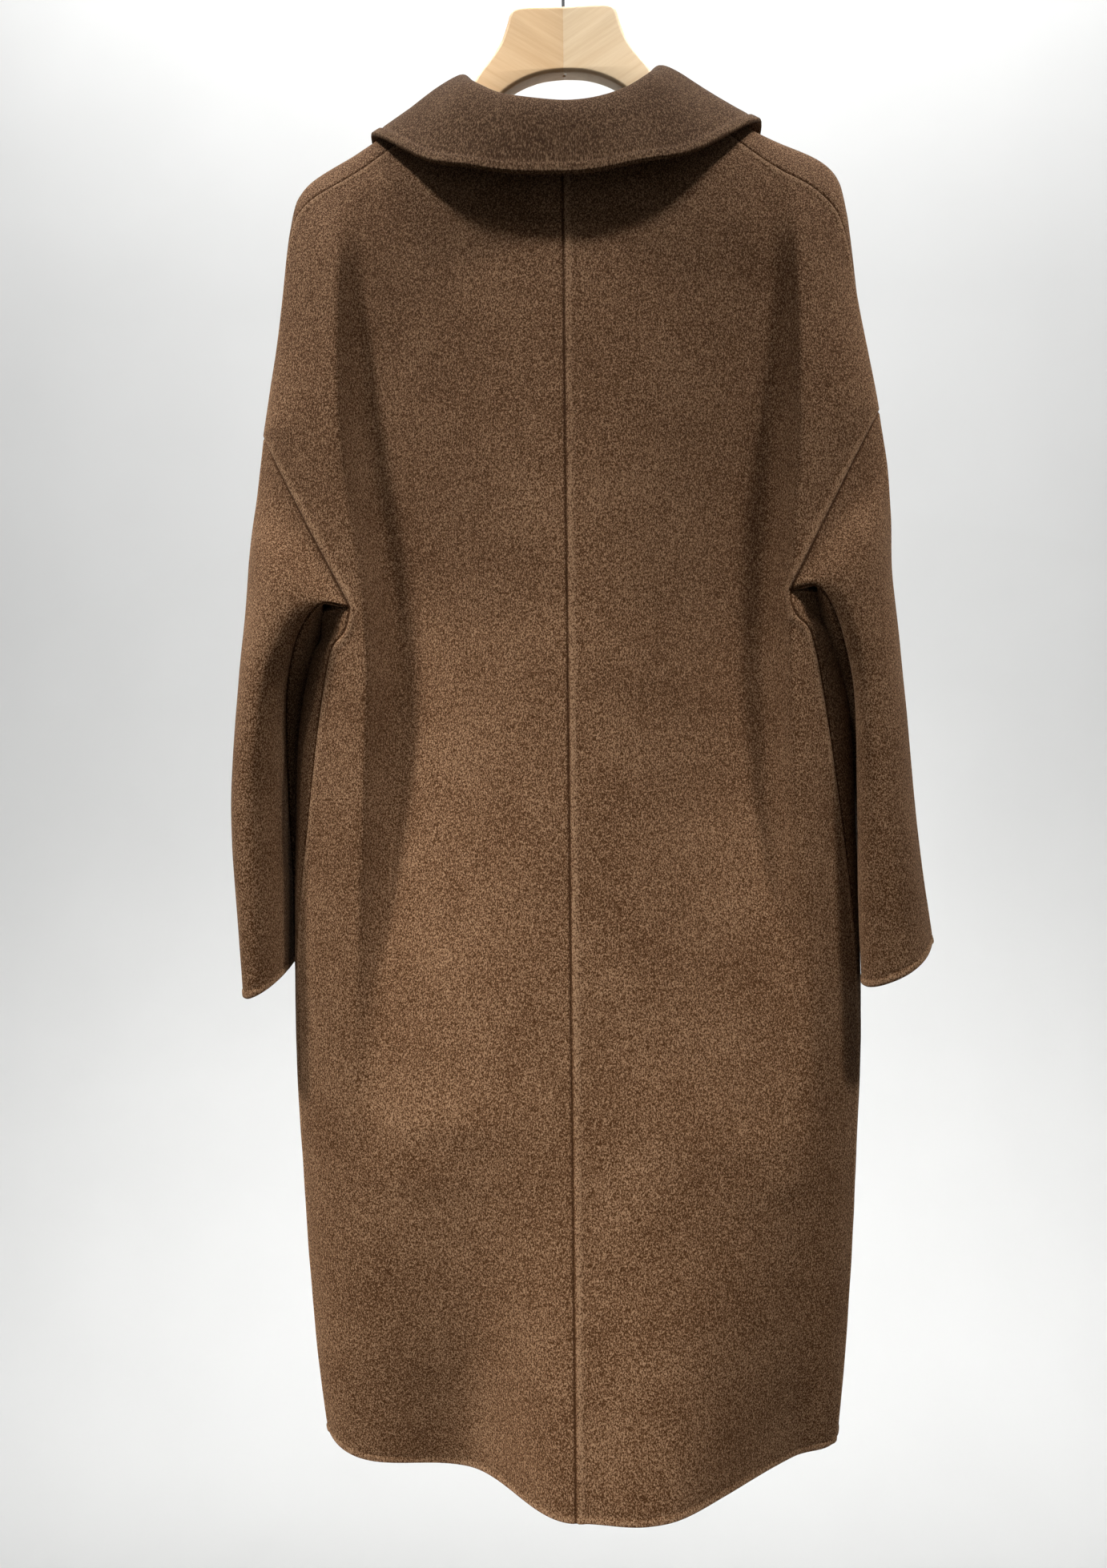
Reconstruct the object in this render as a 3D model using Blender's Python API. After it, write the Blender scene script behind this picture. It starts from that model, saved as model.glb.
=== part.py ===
"""Long wool coat on a two-piece wooden hanger, in metres with +Z up.

The origin is the seat of the hanger's hook, where a rail carries it. The coat's back faces -Y, its front faces +Y
and +X is the wearer's right. Each cloth piece is a grid of points on its outer face, extruded inwards to a wall.
Pieces that are sewn together share the direction of the wall at their seam, so that the walls meet in a mitre.
"""

import math

import bmesh
import bpy
import numpy as np

# Cloth, seams and mesh
CLOTH = 0.0025  # thickness of the double-faced wool
SEAM_GAP = 0.0003  # space left between two sewn edges
EDGE_STRIP = 0.0045  # narrow strip of faces along a sewn edge
MEETING = 0.0012  # edge points closer than this belong to one seam
MITRE_LIMIT = 0.6  # the least cosine that a mitre makes up for
EDGE_ANGLE = math.radians(50)  # sharper edges are shaded as edges
ROW_POINTS = 160  # points of a row before it is divided evenly
PANEL_COLUMNS = 14
COLLAR_COLUMNS = 15

# Body: one row for each level, from the neck down. back_z and front_z are heights at the centre lines, the depths
# run from the middle plane y = 0, and the crest is the outermost line of shoulder, arm and side at y = 0. The
# seam that joins back and front lies seam_back behind the crest, measured along the cloth.
LEVEL_COLUMNS = (
    "back_z", "front_z", "back_depth", "front_depth", "squareness", "seam_back", "crest_x", "crest_z"
)
LEVELS = np.array(
    [
        (-0.200, -0.235, 0.050, 0.055, 2.4, 0.020, 0.0810, -0.1335),  # neck
        (-0.228, -0.262, 0.055, 0.058, 2.5, 0.029, 0.1250, -0.1580),  # under the collar
        (-0.258, -0.290, 0.060, 0.060, 2.6, 0.033, 0.1680, -0.1850),  # shoulder
        (-0.290, -0.318, 0.064, 0.062, 2.7, 0.030, 0.2095, -0.2115),  # end of the hanger
        (-0.322, -0.345, 0.067, 0.064, 2.8, 0.023, 0.2220, -0.2450),  # top of the arm
        (-0.360, -0.378, 0.070, 0.067, 2.8, 0.016, 0.2305, -0.3200),  # upper arm
        (-0.405, -0.410, 0.072, 0.070, 2.8, 0.012, 0.2448, -0.4120),  # top of the armhole
        (-0.556, -0.556, 0.076, 0.075, 2.6, 0.020, 0.1880, -0.5560),  # underarm
        (-0.595, -0.595, 0.078, 0.077, 2.5, 0.022, 0.2110, -0.5950),  # below the arm
        (-0.700, -0.700, 0.083, 0.082, 2.4, 0.022, 0.2230, -0.7000),  # waist
        (-0.870, -0.870, 0.092, 0.090, 2.3, 0.022, 0.2258, -0.8690),  # hip
        (-1.020, -1.020, 0.101, 0.097, 2.2, 0.022, 0.2198, -1.0180),  # thigh
        (-1.140, -1.136, 0.111, 0.102, 2.1, 0.022, 0.2118, -1.1340),  # knee
        (-1.228, -1.218, 0.120, 0.106, 2.0, 0.022, 0.2040, -1.2130),  # hem
    ]
)
ARMHOLE_TOP = 6
UNDERARM = 7
HEM = len(LEVELS) - 1
SHOULDER_DROP = {-1: 0.001, 1: 0.005}  # how far each shoulder sinks beside the collar
SHOULDER_DROP_LEVEL = 1.4
SHOULDER_DROP_REACH = 1.4
HEM_LIFT = {-1: 0.012, 1: -0.003}  # rise of the hem at each side seam
HEM_LIFT_LEVELS = 2  # over so many levels above it
SHOULDER_RISE = 1.4  # how late a row climbs from the centre line to the crest
TILT_TOP = math.radians(0.05)  # the coat hangs a little higher on the wearer's right
TILT_LOW = math.radians(1.2)
TILT_TOP_Z = -0.18
TILT_LOW_Z = -0.50

# Folds: each dips into the coat along a line down the cloth. A row gives the face, the side, the width of the slope
# towards the centre, the width towards the arm, and the line's stations as (height, distance from centre, depth).
FOLDS = (
    ("back", -1, 0.085, 0.024, (
        (-0.24, 0.150, 0.000), (-0.33, 0.153, 0.022), (-0.45, 0.149, 0.033), (-0.57, 0.141, 0.036),
        (-0.70, 0.146, 0.026), (-0.83, 0.158, 0.010), (-0.95, 0.165, 0.000),
    )),
    ("back", 1, 0.070, 0.024, (
        (-0.24, 0.152, 0.000), (-0.33, 0.155, 0.018), (-0.45, 0.151, 0.028), (-0.57, 0.144, 0.032),
        (-0.70, 0.149, 0.024), (-0.82, 0.160, 0.010), (-0.92, 0.165, 0.000),
    )),
    ("back", -1, 0.089, 0.125, ((-0.95, 0.087, 0.000), (-1.10, 0.088, 0.028), (-1.23, 0.089, 0.072))),
    ("back", 1, 0.100, 0.048, ((-1.00, 0.160, 0.000), (-1.13, 0.162, 0.014), (-1.23, 0.164, 0.038))),
    ("back", 1, 0.050, 0.060, ((-0.90, 0.050, 0.000), (-1.10, 0.050, -0.004), (-1.23, 0.052, -0.009))),
    ("front", -1, 0.075, 0.026, (
        (-0.27, 0.150, 0.000), (-0.40, 0.152, 0.018), (-0.56, 0.144, 0.028), (-0.72, 0.150, 0.016), (-0.90, 0.160, 0.000),
    )),
    ("front", 1, 0.070, 0.026, (
        (-0.27, 0.150, 0.000), (-0.40, 0.150, 0.020), (-0.56, 0.142, 0.026), (-0.75, 0.150, 0.018), (-0.94, 0.160, 0.000),
    )),
    ("front", 1, 0.060, 0.070, ((-0.95, 0.120, 0.000), (-1.10, 0.122, 0.012), (-1.22, 0.126, 0.024))),
    ("front", -1, 0.060, 0.070, ((-0.98, 0.128, 0.000), (-1.10, 0.126, 0.009), (-1.22, 0.124, 0.018))),
)

# Front edges: the wearer's right front lies over the left one
OVERLAP = 0.030  # reach of each edge past the centre line
UNDER_DEPTH = 0.007  # how far the lower front lies behind the upper one
UNDER_FROM = 0.090  # where the lower front starts to step back, from the centre line
UNDER_TO = 0.045

# Sleeves: one row for each ring below the armhole: the outer line, the inner line, the reach to back and front, and
# how far the left and the right sleeve hang outwards there
ARMHOLE_REACH = (0.042, 0.056)  # back and front reach of the armhole from the line of its seams
SLEEVE_RINGS = (  # out_x, out_z, in_x, in_z, to_back, to_front, left, right
    (0.2500, -0.4560, 0.2010, -0.5555, 0.049, 0.056, 0.000, 0.000),
    (0.2555, -0.4960, 0.2135, -0.5680, 0.055, 0.058, 0.000, -0.004),
    (0.2602, -0.5440, 0.2255, -0.5900, 0.060, 0.061, 0.000, -0.0085),
    (0.2655, -0.5980, 0.2300, -0.6240, 0.063, 0.064, 0.000, -0.0080),
    (0.2725, -0.6970, 0.2300, -0.7000, 0.066, 0.067, -0.001, -0.0060),
    (0.2755, -0.7750, 0.2312, -0.7760, 0.067, 0.068, -0.009, -0.0010),
    (0.2765, -0.8400, 0.2320, -0.8430, 0.067, 0.068, -0.014, 0.0070),
)
INNER_HANG = 0.25  # share of that on the inner line, which stays by the body
SLEEVE_OUT_Y = -0.006
SLEEVE_IN_Y = 0.004
SLEEVE_SETTLED = 4  # the ring where both lines have reached these places
SLEEVE_LEAN = {-1: 0.036, 1: 0.042}  # how far the front of the sleeve leans in towards the body
LEAN_RINGS = (0.4, 3.0)  # the rings between which the lean grows
LEAN_LOSS = 0.7  # share of it lost at the cuff
CUFF_LEAN = {-1: 0.000, 1: 0.013}  # how far the back of the cuff leans in towards the body
ARMHOLE_SQUARENESS = 1.6  # the armhole's seams run nearly straight
SLEEVE_SQUARENESS = 2.3
CUFF_DIP = {-1: 0.010, 1: 0.013}  # the cuff hangs lower on its back edge
SLEEVE_TWIST = {-1: math.radians(3), 1: math.radians(14)}  # turn of the cuff towards the back
CUFF_SLANT = {-1: -0.008, 1: 0.009}  # rise of the cuff's outer line over its inner line

# Collar: one row for each station from centre back to its front end: the part of the half neckline, a point of the
# fold line, a point of the free edge, how full the fold is, and how far out the fold lies on the left and right
COLLAR_STATIONS = (
    (0.000, (0.0000, -0.0480, -0.1720), (0.0000, -0.0665, -0.2405), 1.0, 0.000, 0.000),
    (0.200, (0.0450, -0.0415, -0.1620), (0.0600, -0.0640, -0.2345), 1.0, 0.001, -0.001),
    (0.330, (0.0690, -0.0240, -0.1400), (0.1085, -0.0530, -0.2165), 0.85, 0.002, -0.002),
    (0.410, (0.0790, -0.0080, -0.1260), (0.1470, -0.0245, -0.1820), 0.48, 0.002, -0.0025),
    (0.470, (0.0805, 0.0060, -0.1240), (0.1580, 0.0040, -0.1690), 0.45, 0.002, -0.0025),
    (0.600, (0.0720, 0.0290, -0.1420), (0.1440, 0.0480, -0.2080), 0.6, 0.001, -0.002),
    (0.780, (0.0460, 0.0480, -0.1800), (0.1050, 0.0690, -0.2640), 1.0, 0.000, 0.000),
    (0.970, (0.0090, 0.0560, -0.2080), (0.0420, 0.0715, -0.3200), 1.0, 0.000, 0.000),
)
COLLAR_ROLL = 0.018  # reach of the rounded fold at the top of the collar
COLLAR_BULGE = 0.006  # how far the fall swells outwards
COLLAR_NEAR = (0.010, 0.0000, 0.0050, 0.0110)  # lengths of the points by the fold, one before it and three after it
COLLAR_FALL_FROM = 0.0190  # length where the even points of the fall start
COLLAR_STAND_POINTS = 3
COLLAR_FALL_POINTS = 6

# Hanger: two wooden halves and a bent steel hook
HANGER_THICKNESS = 0.017
HANGER_ROUND = 0.003
HANGER_TOP_LINE = (  # from the centre to the tip of the arm
    (-0.010, -0.0760), (0.0370, -0.0760), (0.0415, -0.0785), (0.0455, -0.0900), (0.0500, -0.1020),
    (0.0570, -0.1130), (0.0670, -0.1255), (0.0790, -0.1440), (0.0960, -0.1585), (0.1250, -0.1745), (0.1600, -0.1960),
    (0.1880, -0.2170),
)
HANGER_TIP = (0.1950, -0.2310)
HANGER_UNDER_LINE = (  # from the tip back to the centre
    (0.1820, -0.2370), (0.1480, -0.2170), (0.1050, -0.1910), (0.0700, -0.1630), (0.0420, -0.1390),
    (0.0200, -0.1300), (-0.010, -0.1275),
)
WIRE = 0.0026  # diameter of the hook's wire
HOOK_RADIUS = 0.020  # of the wire's centre line around the rail
HOOK_START = math.radians(-50)
HOOK_END = math.radians(205)
HOOK_STEM_TOP = -0.052
HOOK_STEM_FOOT = -0.1270
STEM_HOLE = WIRE / 2 + SEAM_GAP

WOOL_BROWN = (0.128, 0.071, 0.040, 1.0)
COLLAR_BROWN = (0.120, 0.067, 0.038, 1.0)
BEECH = (0.760, 0.560, 0.360, 1.0)
STEEL = (0.560, 0.560, 0.550, 1.0)
WOOL_ROUGHNESS = 0.95
BEECH_ROUGHNESS = 0.45
STEEL_ROUGHNESS = 0.25

SIDES = {"left": -1, "right": 1}


# Curves and sampling


def curve(knots, values, at):
    """Smooth curve through values at rising knots, read at a number or an array."""
    knots = np.asarray(knots, float)
    values = np.asarray(values, float)
    slopes = np.gradient(values, knots, axis=0)
    at = np.clip(at, knots[0], knots[-1])
    i = np.clip(np.searchsorted(knots, at, side="right") - 1, 0, len(knots) - 2)
    step = knots[i + 1] - knots[i]
    f = (at - knots[i]) / step
    if values.ndim > 1 and np.ndim(at):
        f, step = f[:, None], step[:, None]
    start = (1 + 2 * f) * (1 - f) ** 2 * values[i] + f * (1 - f) ** 2 * step * slopes[i]
    return start + f * f * (3 - 2 * f) * values[i + 1] + f * f * (f - 1) * step * slopes[i + 1]


def arc_lengths(points):
    return np.concatenate([[0.0], np.cumsum(np.linalg.norm(np.diff(points, axis=0), axis=1))])


def points_at(points, lengths):
    """Points of a fine polyline at stated lengths along it."""
    along = arc_lengths(points)
    return np.column_stack([np.interp(lengths, along, points[:, k]) for k in range(3)])


def sewn_lengths(total, count, start_gap=SEAM_GAP / 2, end_gap=SEAM_GAP / 2):
    """Even lengths along a row, with a narrow strip at each sewn end."""
    inner = np.linspace(start_gap + EDGE_STRIP, total - end_gap - EDGE_STRIP, count - 2)
    return np.concatenate([[start_gap], inner, [total - end_gap]])


def eased(value, low, high):
    """Smooth step from 0 at low to 1 at high."""
    f = np.clip((value - low) / (high - low), 0.0, 1.0)
    return f * f * (3 - 2 * f)


# Body surface


def level(t):
    """The sizes of the body at level t, by name. The crest isn't smoothed across the armhole."""
    sizes = dict(zip(LEVEL_COLUMNS, curve(range(len(LEVELS)), LEVELS, t)))
    first, last = (0, ARMHOLE_TOP) if t <= ARMHOLE_TOP else (UNDERARM, HEM)
    crest = curve(range(first, last + 1), LEVELS[first : last + 1, -2:], t)
    return sizes | {"crest_x": crest[0], "crest_z": crest[1]}


def quarter(crest_x, depth, squareness, centre_z, end_z, end_depth=0.0):
    """A row from the centre line to the crest, or to where its depth has fallen to end_depth."""
    angle = np.linspace(0.0, math.acos((end_depth / depth) ** (squareness / 2)), ROW_POINTS)
    x = crest_x * np.sin(angle) ** (2 / squareness)
    y = depth * np.maximum(np.cos(angle), 0.0) ** (2 / squareness)
    rise = np.sin(math.pi / 2 * (1 - y / depth) ** SHOULDER_RISE)
    return np.column_stack([x, y, centre_z + (end_z - centre_z) * rise / rise[-1]])


def virtual_crest(x, y, depth, squareness):
    """The crest of a row that passes through x at depth y."""
    return x / (1 - (abs(y) / depth) ** squareness) ** (1 / squareness)


def fold_depth(face, side, x, z):
    """How far the folds on one side of a face dip at distance x from the centre and height z."""
    total = np.zeros_like(x)
    for fold_face, fold_side, to_centre, to_arm, stations in FOLDS:
        if (fold_face, fold_side) != (face, side):
            continue
        heights, lines, depths = np.array(stations[::-1]).T
        off = x - curve(heights, lines, z)
        reach = np.clip(np.where(off < 0, -off / to_centre, off / to_arm), 0.0, 1.0)
        depth = np.clip(curve(heights, depths, z), depths.min(), depths.max())
        total += depth * (1 + np.cos(math.pi * reach)) / 2
    return total


def whole_row(t, side):
    """The row at level t from centre back over the crest to centre front, and the crest's length along it."""
    s = level(t)
    sunk = 1 - eased(abs(t - SHOULDER_DROP_LEVEL), 0.0, SHOULDER_DROP_REACH)
    crest_z = s["crest_z"] + HEM_LIFT[side] * eased(t, HEM - HEM_LIFT_LEVELS, HEM) - SHOULDER_DROP[side] * sunk
    back = quarter(s["crest_x"], s["back_depth"], s["squareness"], s["back_z"], crest_z)
    back[:, 1] *= -1
    front = quarter(s["crest_x"], s["front_depth"], s["squareness"], s["front_z"], crest_z)
    back[:, 1] += fold_depth("back", side, back[:, 0], back[:, 2])
    front[:, 1] -= fold_depth("front", side, front[:, 0], front[:, 2])
    return np.vstack([back, front[::-1][1:]]), arc_lengths(back)[-1]


def seam_point(t, side):
    """The point at level t on the seam between back and front."""
    row, crest = whole_row(t, side)
    return points_at(row, [crest - level(t)["seam_back"]])[0]


def back_row(t, side):
    """The back's row at level t, from the centre back to its outer seam."""
    if not ARMHOLE_TOP < t < UNDERARM:
        row, crest = whole_row(t, side)
        end = crest - level(t)["seam_back"]
        return points_at(row, np.linspace(0.0, end, ROW_POINTS))
    s = level(t)
    depth, squareness = s["back_depth"], s["squareness"]
    x, y, z = armhole_point(math.pi * (t - ARMHOLE_TOP), side)
    row = quarter(virtual_crest(x, y, depth, squareness), depth, squareness, s["back_z"], z, -y)
    row[:, 1] *= -1
    row[:, 1] += fold_depth("back", side, row[:, 0], row[:, 2])
    return row


def front_row(t, side):
    """The front's row at level t, from its outer seam to its free edge past the centre front."""
    s = level(t)
    depth, squareness = s["front_depth"], s["squareness"]
    if not ARMHOLE_TOP < t < UNDERARM:
        row, crest = whole_row(t, side)
        start = crest - s["seam_back"]
        row = points_at(row, np.linspace(start, arc_lengths(row)[-1], 2 * ROW_POINTS))
    else:
        x, y, z = armhole_point(-math.pi * (t - ARMHOLE_TOP), side)
        if y >= 0:
            crest_x = virtual_crest(x, y, depth, squareness)
            row = quarter(crest_x, depth, squareness, s["front_z"], z, y)[::-1]
        else:
            crest_x = virtual_crest(x, y, s["back_depth"], squareness)
            behind = quarter(crest_x, s["back_depth"], squareness, z, z)
            behind[:, 1] *= -1
            front = quarter(crest_x, depth, squareness, s["front_z"], z)[::-1]
            row = np.vstack([behind[behind[:, 1] > y], front[1:]])
            row[0] = (x, y, z)
        row[:, 1] -= fold_depth("front", side, row[:, 0], row[:, 2]) * (row[:, 1] > 0)
    past = np.linspace(0.0, OVERLAP, 12)[1:]
    reach = np.column_stack([-past, np.full_like(past, row[-1, 1]), np.full_like(past, row[-1, 2])])
    row = np.vstack([row, reach])
    if side < 0:
        row[:, 1] -= UNDER_DEPTH * eased(row[:, 0], UNDER_FROM, UNDER_TO) * (row[:, 1] > 0)
    return row


# Sleeve surface


def sleeve_rings(side):
    """Rings of one sleeve as (outer point, inner point, reach to back, reach to front), the armhole first."""
    top = seam_point(ARMHOLE_TOP, side)
    under = seam_point(UNDERARM, side)
    rings = [(*top, *under, *ARMHOLE_REACH)]
    for number, (out_x, out_z, in_x, in_z, to_back, to_front, left, right) in enumerate(SLEEVE_RINGS, 1):
        settled = eased(number, 0, SLEEVE_SETTLED)
        out_y = top[1] + (SLEEVE_OUT_Y - top[1]) * settled
        in_y = under[1] + (SLEEVE_IN_Y - under[1]) * settled
        hang = right if side > 0 else left
        rings.append((out_x + hang, out_y, out_z, in_x + hang * INNER_HANG, in_y, in_z, to_back, to_front))
    return np.array(rings)


def sleeve_point(station, angle, side):
    """Point at an angle round the sleeve: 0 is the outer seam, pi the underarm seam, the back in between."""
    rings = sleeve_rings(side)
    last = len(rings) - 1
    ring = curve(range(last + 1), rings, station)
    outer, inner, (to_back, to_front) = ring[:3], ring[3:6], ring[6:]
    c, s = math.cos(angle), math.sin(angle)
    low = eased(station, 0.0, last)
    power = 2 / (ARMHOLE_SQUARENESS + (SLEEVE_SQUARENESS - ARMHOLE_SQUARENESS) * low)
    along = math.copysign(abs(c) ** power, c)
    across = abs(s) ** power
    off = (outer - inner) / 2 * along
    off[1] += -to_back * across if s > 0 else to_front * across
    turn = SLEEVE_TWIST[side] * low
    turned = (
        off[0] * math.cos(turn) + off[1] * math.sin(turn),
        off[1] * math.cos(turn) - off[0] * math.sin(turn),
        off[2] + CUFF_SLANT[side] * along * low,
    )
    point = (outer + inner) / 2 + turned
    lean = SLEEVE_LEAN[side] * eased(station, *LEAN_RINGS) * (1 - LEAN_LOSS * low)
    point[0] -= lean * math.sqrt(max(-s, 0.0)) * (1 - c) / 2
    point[0] -= CUFF_LEAN[side] * low * max(s, 0.0) * (1 - c) / 2
    point[2] -= CUFF_DIP[side] * low * max(s, 0.0)
    return point


def armhole_point(angle, side):
    return sleeve_point(0.0, angle, side)


# Meshes and objects


def tilted(points):
    """The points after the coat has settled a little to one side."""
    weight = eased(-points[..., 2], -TILT_TOP_Z, -TILT_LOW_Z)
    slope = TILT_TOP + (TILT_LOW - TILT_TOP) * weight
    out = points.copy()
    out[..., 2] += points[..., 0] * np.tan(slope)
    return out


def material(name, colour, roughness, metallic=0.0):
    made = bpy.data.materials.new(name)
    made.use_nodes = True
    shader = made.node_tree.nodes["Principled BSDF"]
    shader.inputs["Base Color"].default_value = colour
    shader.inputs["Roughness"].default_value = roughness
    shader.inputs["Metallic"].default_value = metallic
    made.diffuse_color = colour
    return made


def add_object(name, mesh, collection, finish):
    made = bpy.data.objects.new(name, mesh)
    mesh.materials.clear()
    mesh.materials.append(finish)
    collection.objects.link(made)
    return made


def grid_normals(rows, flip):
    """Directions out of the cloth at every point of a grid."""
    normals = np.cross(np.gradient(rows, axis=1), np.gradient(rows, axis=0))
    normals /= np.linalg.norm(normals, axis=2)[..., None]
    return -normals if flip else normals


def wall_offsets(grids):
    """The way from the outer to the inner face at every point, the same for all pieces that meet at a seam."""
    own = {name: grid_normals(*grid) for name, grid in grids.items()}
    keys = []
    for name, (rows, _) in grids.items():
        edge = np.ones(rows.shape[:2], bool)
        edge[1:-1, 1:-1] = False
        keys += [(name, i, j) for i, j in np.argwhere(edge)]
    places = np.array([grids[name][0][i, j] for name, i, j in keys])
    directions = np.array([own[name][i, j] for name, i, j in keys])
    shared = {name: normals.copy() for name, normals in own.items()}
    for (name, i, j), place in zip(keys, places):
        total = directions[np.linalg.norm(places - place, axis=1) < MEETING].sum(axis=0)
        shared[name][i, j] = total / np.linalg.norm(total)
    offsets = {}
    for name, normals in shared.items():
        cosines = np.maximum((normals * own[name]).sum(axis=2), MITRE_LIMIT)
        offsets[name] = -CLOTH * normals / cosines[..., None]
    return offsets


def cloth_piece(name, rows, offsets, collection, finish):
    """A cloth wall from the points of its outer face, given as rows, and the way from each to the inner face."""
    count, columns = rows.shape[:2]
    bm = bmesh.new()
    bmesh.ops.create_grid(bm, x_segments=columns - 1, y_segments=count - 1, size=1.0)
    inward = bm.verts.layers.float_vector.new("inward")
    for vertex, point, offset in zip(bm.verts, rows.reshape(-1, 3), offsets.reshape(-1, 3)):
        vertex.co = point
        vertex[inward] = offset
    made = bmesh.ops.extrude_face_region(bm, geom=bm.faces[:])
    for vertex in made["geom"]:
        if isinstance(vertex, bmesh.types.BMVert):
            vertex.co += vertex[inward]
    bm.verts.layers.float_vector.remove(inward)
    bmesh.ops.recalc_face_normals(bm, faces=bm.faces[:])
    bmesh.ops.triangulate(bm, faces=bm.faces[:], quad_method="SHORT_EDGE")
    mesh = bpy.data.meshes.new(name)
    bm.to_mesh(mesh)
    bm.free()
    mesh.shade_smooth()
    mesh.set_sharp_from_angle(angle=EDGE_ANGLE)
    return add_object(name, mesh, collection, finish)


def mirrored(points, side):
    return points * np.array([side, 1.0, 1.0])


ARMHOLE_ANGLES = np.linspace(0.0, math.pi, 9)  # where panels and sleeves share points of the armhole
PANEL_LEVELS = np.concatenate(
    [
        np.linspace(0.0, ARMHOLE_TOP, 11)[:-1],
        ARMHOLE_TOP + ARMHOLE_ANGLES / math.pi,
        np.linspace(UNDERARM, HEM, 10)[1:],
    ]
)


def panel(row_at, side, free_end):
    """The outer face of a back or front half, from its rows at every level, and whether it is turned over."""
    end_gap = 0.0 if free_end else SEAM_GAP / 2
    rows = []
    for t in PANEL_LEVELS:
        row = row_at(t, side)
        rows.append(points_at(row, sewn_lengths(arc_lengths(row)[-1], PANEL_COLUMNS, end_gap=end_gap)))
    return tilted(mirrored(np.array(rows), side)), side > 0


SLEEVE_STATIONS = np.array([0.0, 0.35, 0.7, 1.1, 1.6, 2.2, 3.0, 4.0, 5.0, 6.0, 7.0])


def sleeve_half(face, side):
    """The outer face of a sleeve's back or front piece, from the armhole to the cuff."""
    turn = 1 if face == "back" else -1
    rows = []
    for station in SLEEVE_STATIONS:
        angles = ARMHOLE_ANGLES if station == 0.0 else np.linspace(0.0, math.pi, ROW_POINTS)
        ring = np.array([sleeve_point(station, turn * angle, side) for angle in angles])
        if station == 0.0:
            below = np.array([sleeve_point(SLEEVE_STATIONS[1] / 4, turn * angle, side) for angle in angles])
            away = below - ring
            ring = ring + away / np.linalg.norm(away, axis=1)[:, None] * SEAM_GAP
        along = arc_lengths(ring)
        shared = np.interp(ARMHOLE_ANGLES[1:-1], angles, along)
        ends = np.array([SEAM_GAP / 2, SEAM_GAP / 2 + EDGE_STRIP])
        rows.append(points_at(ring, np.concatenate([ends, shared, along[-1] - ends[::-1]])))
    return tilted(mirrored(np.array(rows), side)), (side > 0) != (face == "back")


def bezier(a, b, c, d, count):
    f = np.linspace(0.0, 1.0, count)[:, None]
    return (1 - f) ** 3 * a + 3 * f * (1 - f) ** 2 * b + 3 * f * f * (1 - f) * c + f**3 * d


def neckline(side):
    """The line inside half of the body's top edge where the collar is sewn, from centre back to centre front."""
    row, _ = whole_row(0.0, side)
    outward = np.column_stack([row[:, 0], row[:, 1], np.zeros(len(row))])
    return row - outward / np.linalg.norm(outward, axis=1)[:, None] * (2 * CLOTH + SEAM_GAP)


def collar_section(part, side):
    """The collar's section at a part of the half neckline: up the stand, over the roll and down the fall."""
    line = neckline(side)
    neck = points_at(line, [part * arc_lengths(line)[-1]])[0]
    parts = [station[0] for station in COLLAR_STATIONS]
    stations = np.array([(*roll, *edge, full, left, right) for _, roll, edge, full, left, right in COLLAR_STATIONS])
    held = [-parts[1]] + parts
    values = np.vstack([stations[1] * np.array([-1, 1, 1, -1, 1, 1, 1, 1, 1]), stations])
    point = curve(held, values, part)
    roll, edge, full = point[:3], point[3:6], point[6]
    roll = roll + np.array([point[8] if side > 0 else point[7], 0.0, 0.0])
    out = np.array([edge[0] - neck[0], edge[1] - neck[1], 0.0])
    out /= np.linalg.norm(out)
    up = np.array([0.0, 0.0, roll[2] - neck[2]])
    neck = neck + np.array([0.0, 0.0, SEAM_GAP])
    reach = min(COLLAR_ROLL * 0.6, up[2] * 0.45)
    stand = bezier(neck, neck + up * 0.6, roll - out * reach, roll, 60)
    swell = edge + (roll - edge) * 0.45 + out * COLLAR_BULGE * (2 * full - 1)
    fall = bezier(roll, roll + out * COLLAR_ROLL * full, swell, edge, 100)
    height, width = arc_lengths(stand)[-1], arc_lengths(fall)[-1]
    near = min(COLLAR_NEAR[0], height * 0.6)
    up_to = points_at(stand, np.append(np.linspace(0.0, height - near, COLLAR_STAND_POINTS), height - near / 2))
    over = points_at(fall, COLLAR_NEAR[1:])
    down = points_at(fall, np.linspace(COLLAR_FALL_FROM, width, COLLAR_FALL_POINTS))
    return np.vstack([up_to, over, down])


def collar():
    """The upper face of the turn-down collar, from its left front end round the back to the right one."""
    parts = np.linspace(0.0, COLLAR_STATIONS[-1][0], COLLAR_COLUMNS)
    halves = {}
    for side in (-1, 1):
        halves[side] = mirrored(np.array([collar_section(part, side) for part in parts]), side)
    points = np.concatenate([halves[-1][::-1], halves[1][1:]])
    return tilted(points), False


def smooth_line(points, count):
    """A smooth line through a few points, as count points."""
    points = np.asarray(points, float)
    steps = np.concatenate([[0.0], np.cumsum(np.sqrt(np.linalg.norm(np.diff(points, axis=0), axis=1)))])
    return curve(steps, points, np.linspace(0.0, steps[-1], count))


def meshed(curve_object):
    """A closed mesh of a curve object, which is then removed."""
    view = bpy.context.evaluated_depsgraph_get()
    mesh = bpy.data.meshes.new_from_object(curve_object.evaluated_get(view))
    bpy.data.objects.remove(curve_object)
    bm = bmesh.new()
    bm.from_mesh(mesh)
    bmesh.ops.remove_doubles(bm, verts=bm.verts, dist=1e-6)
    bm.to_mesh(mesh)
    bm.free()
    return mesh


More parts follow.
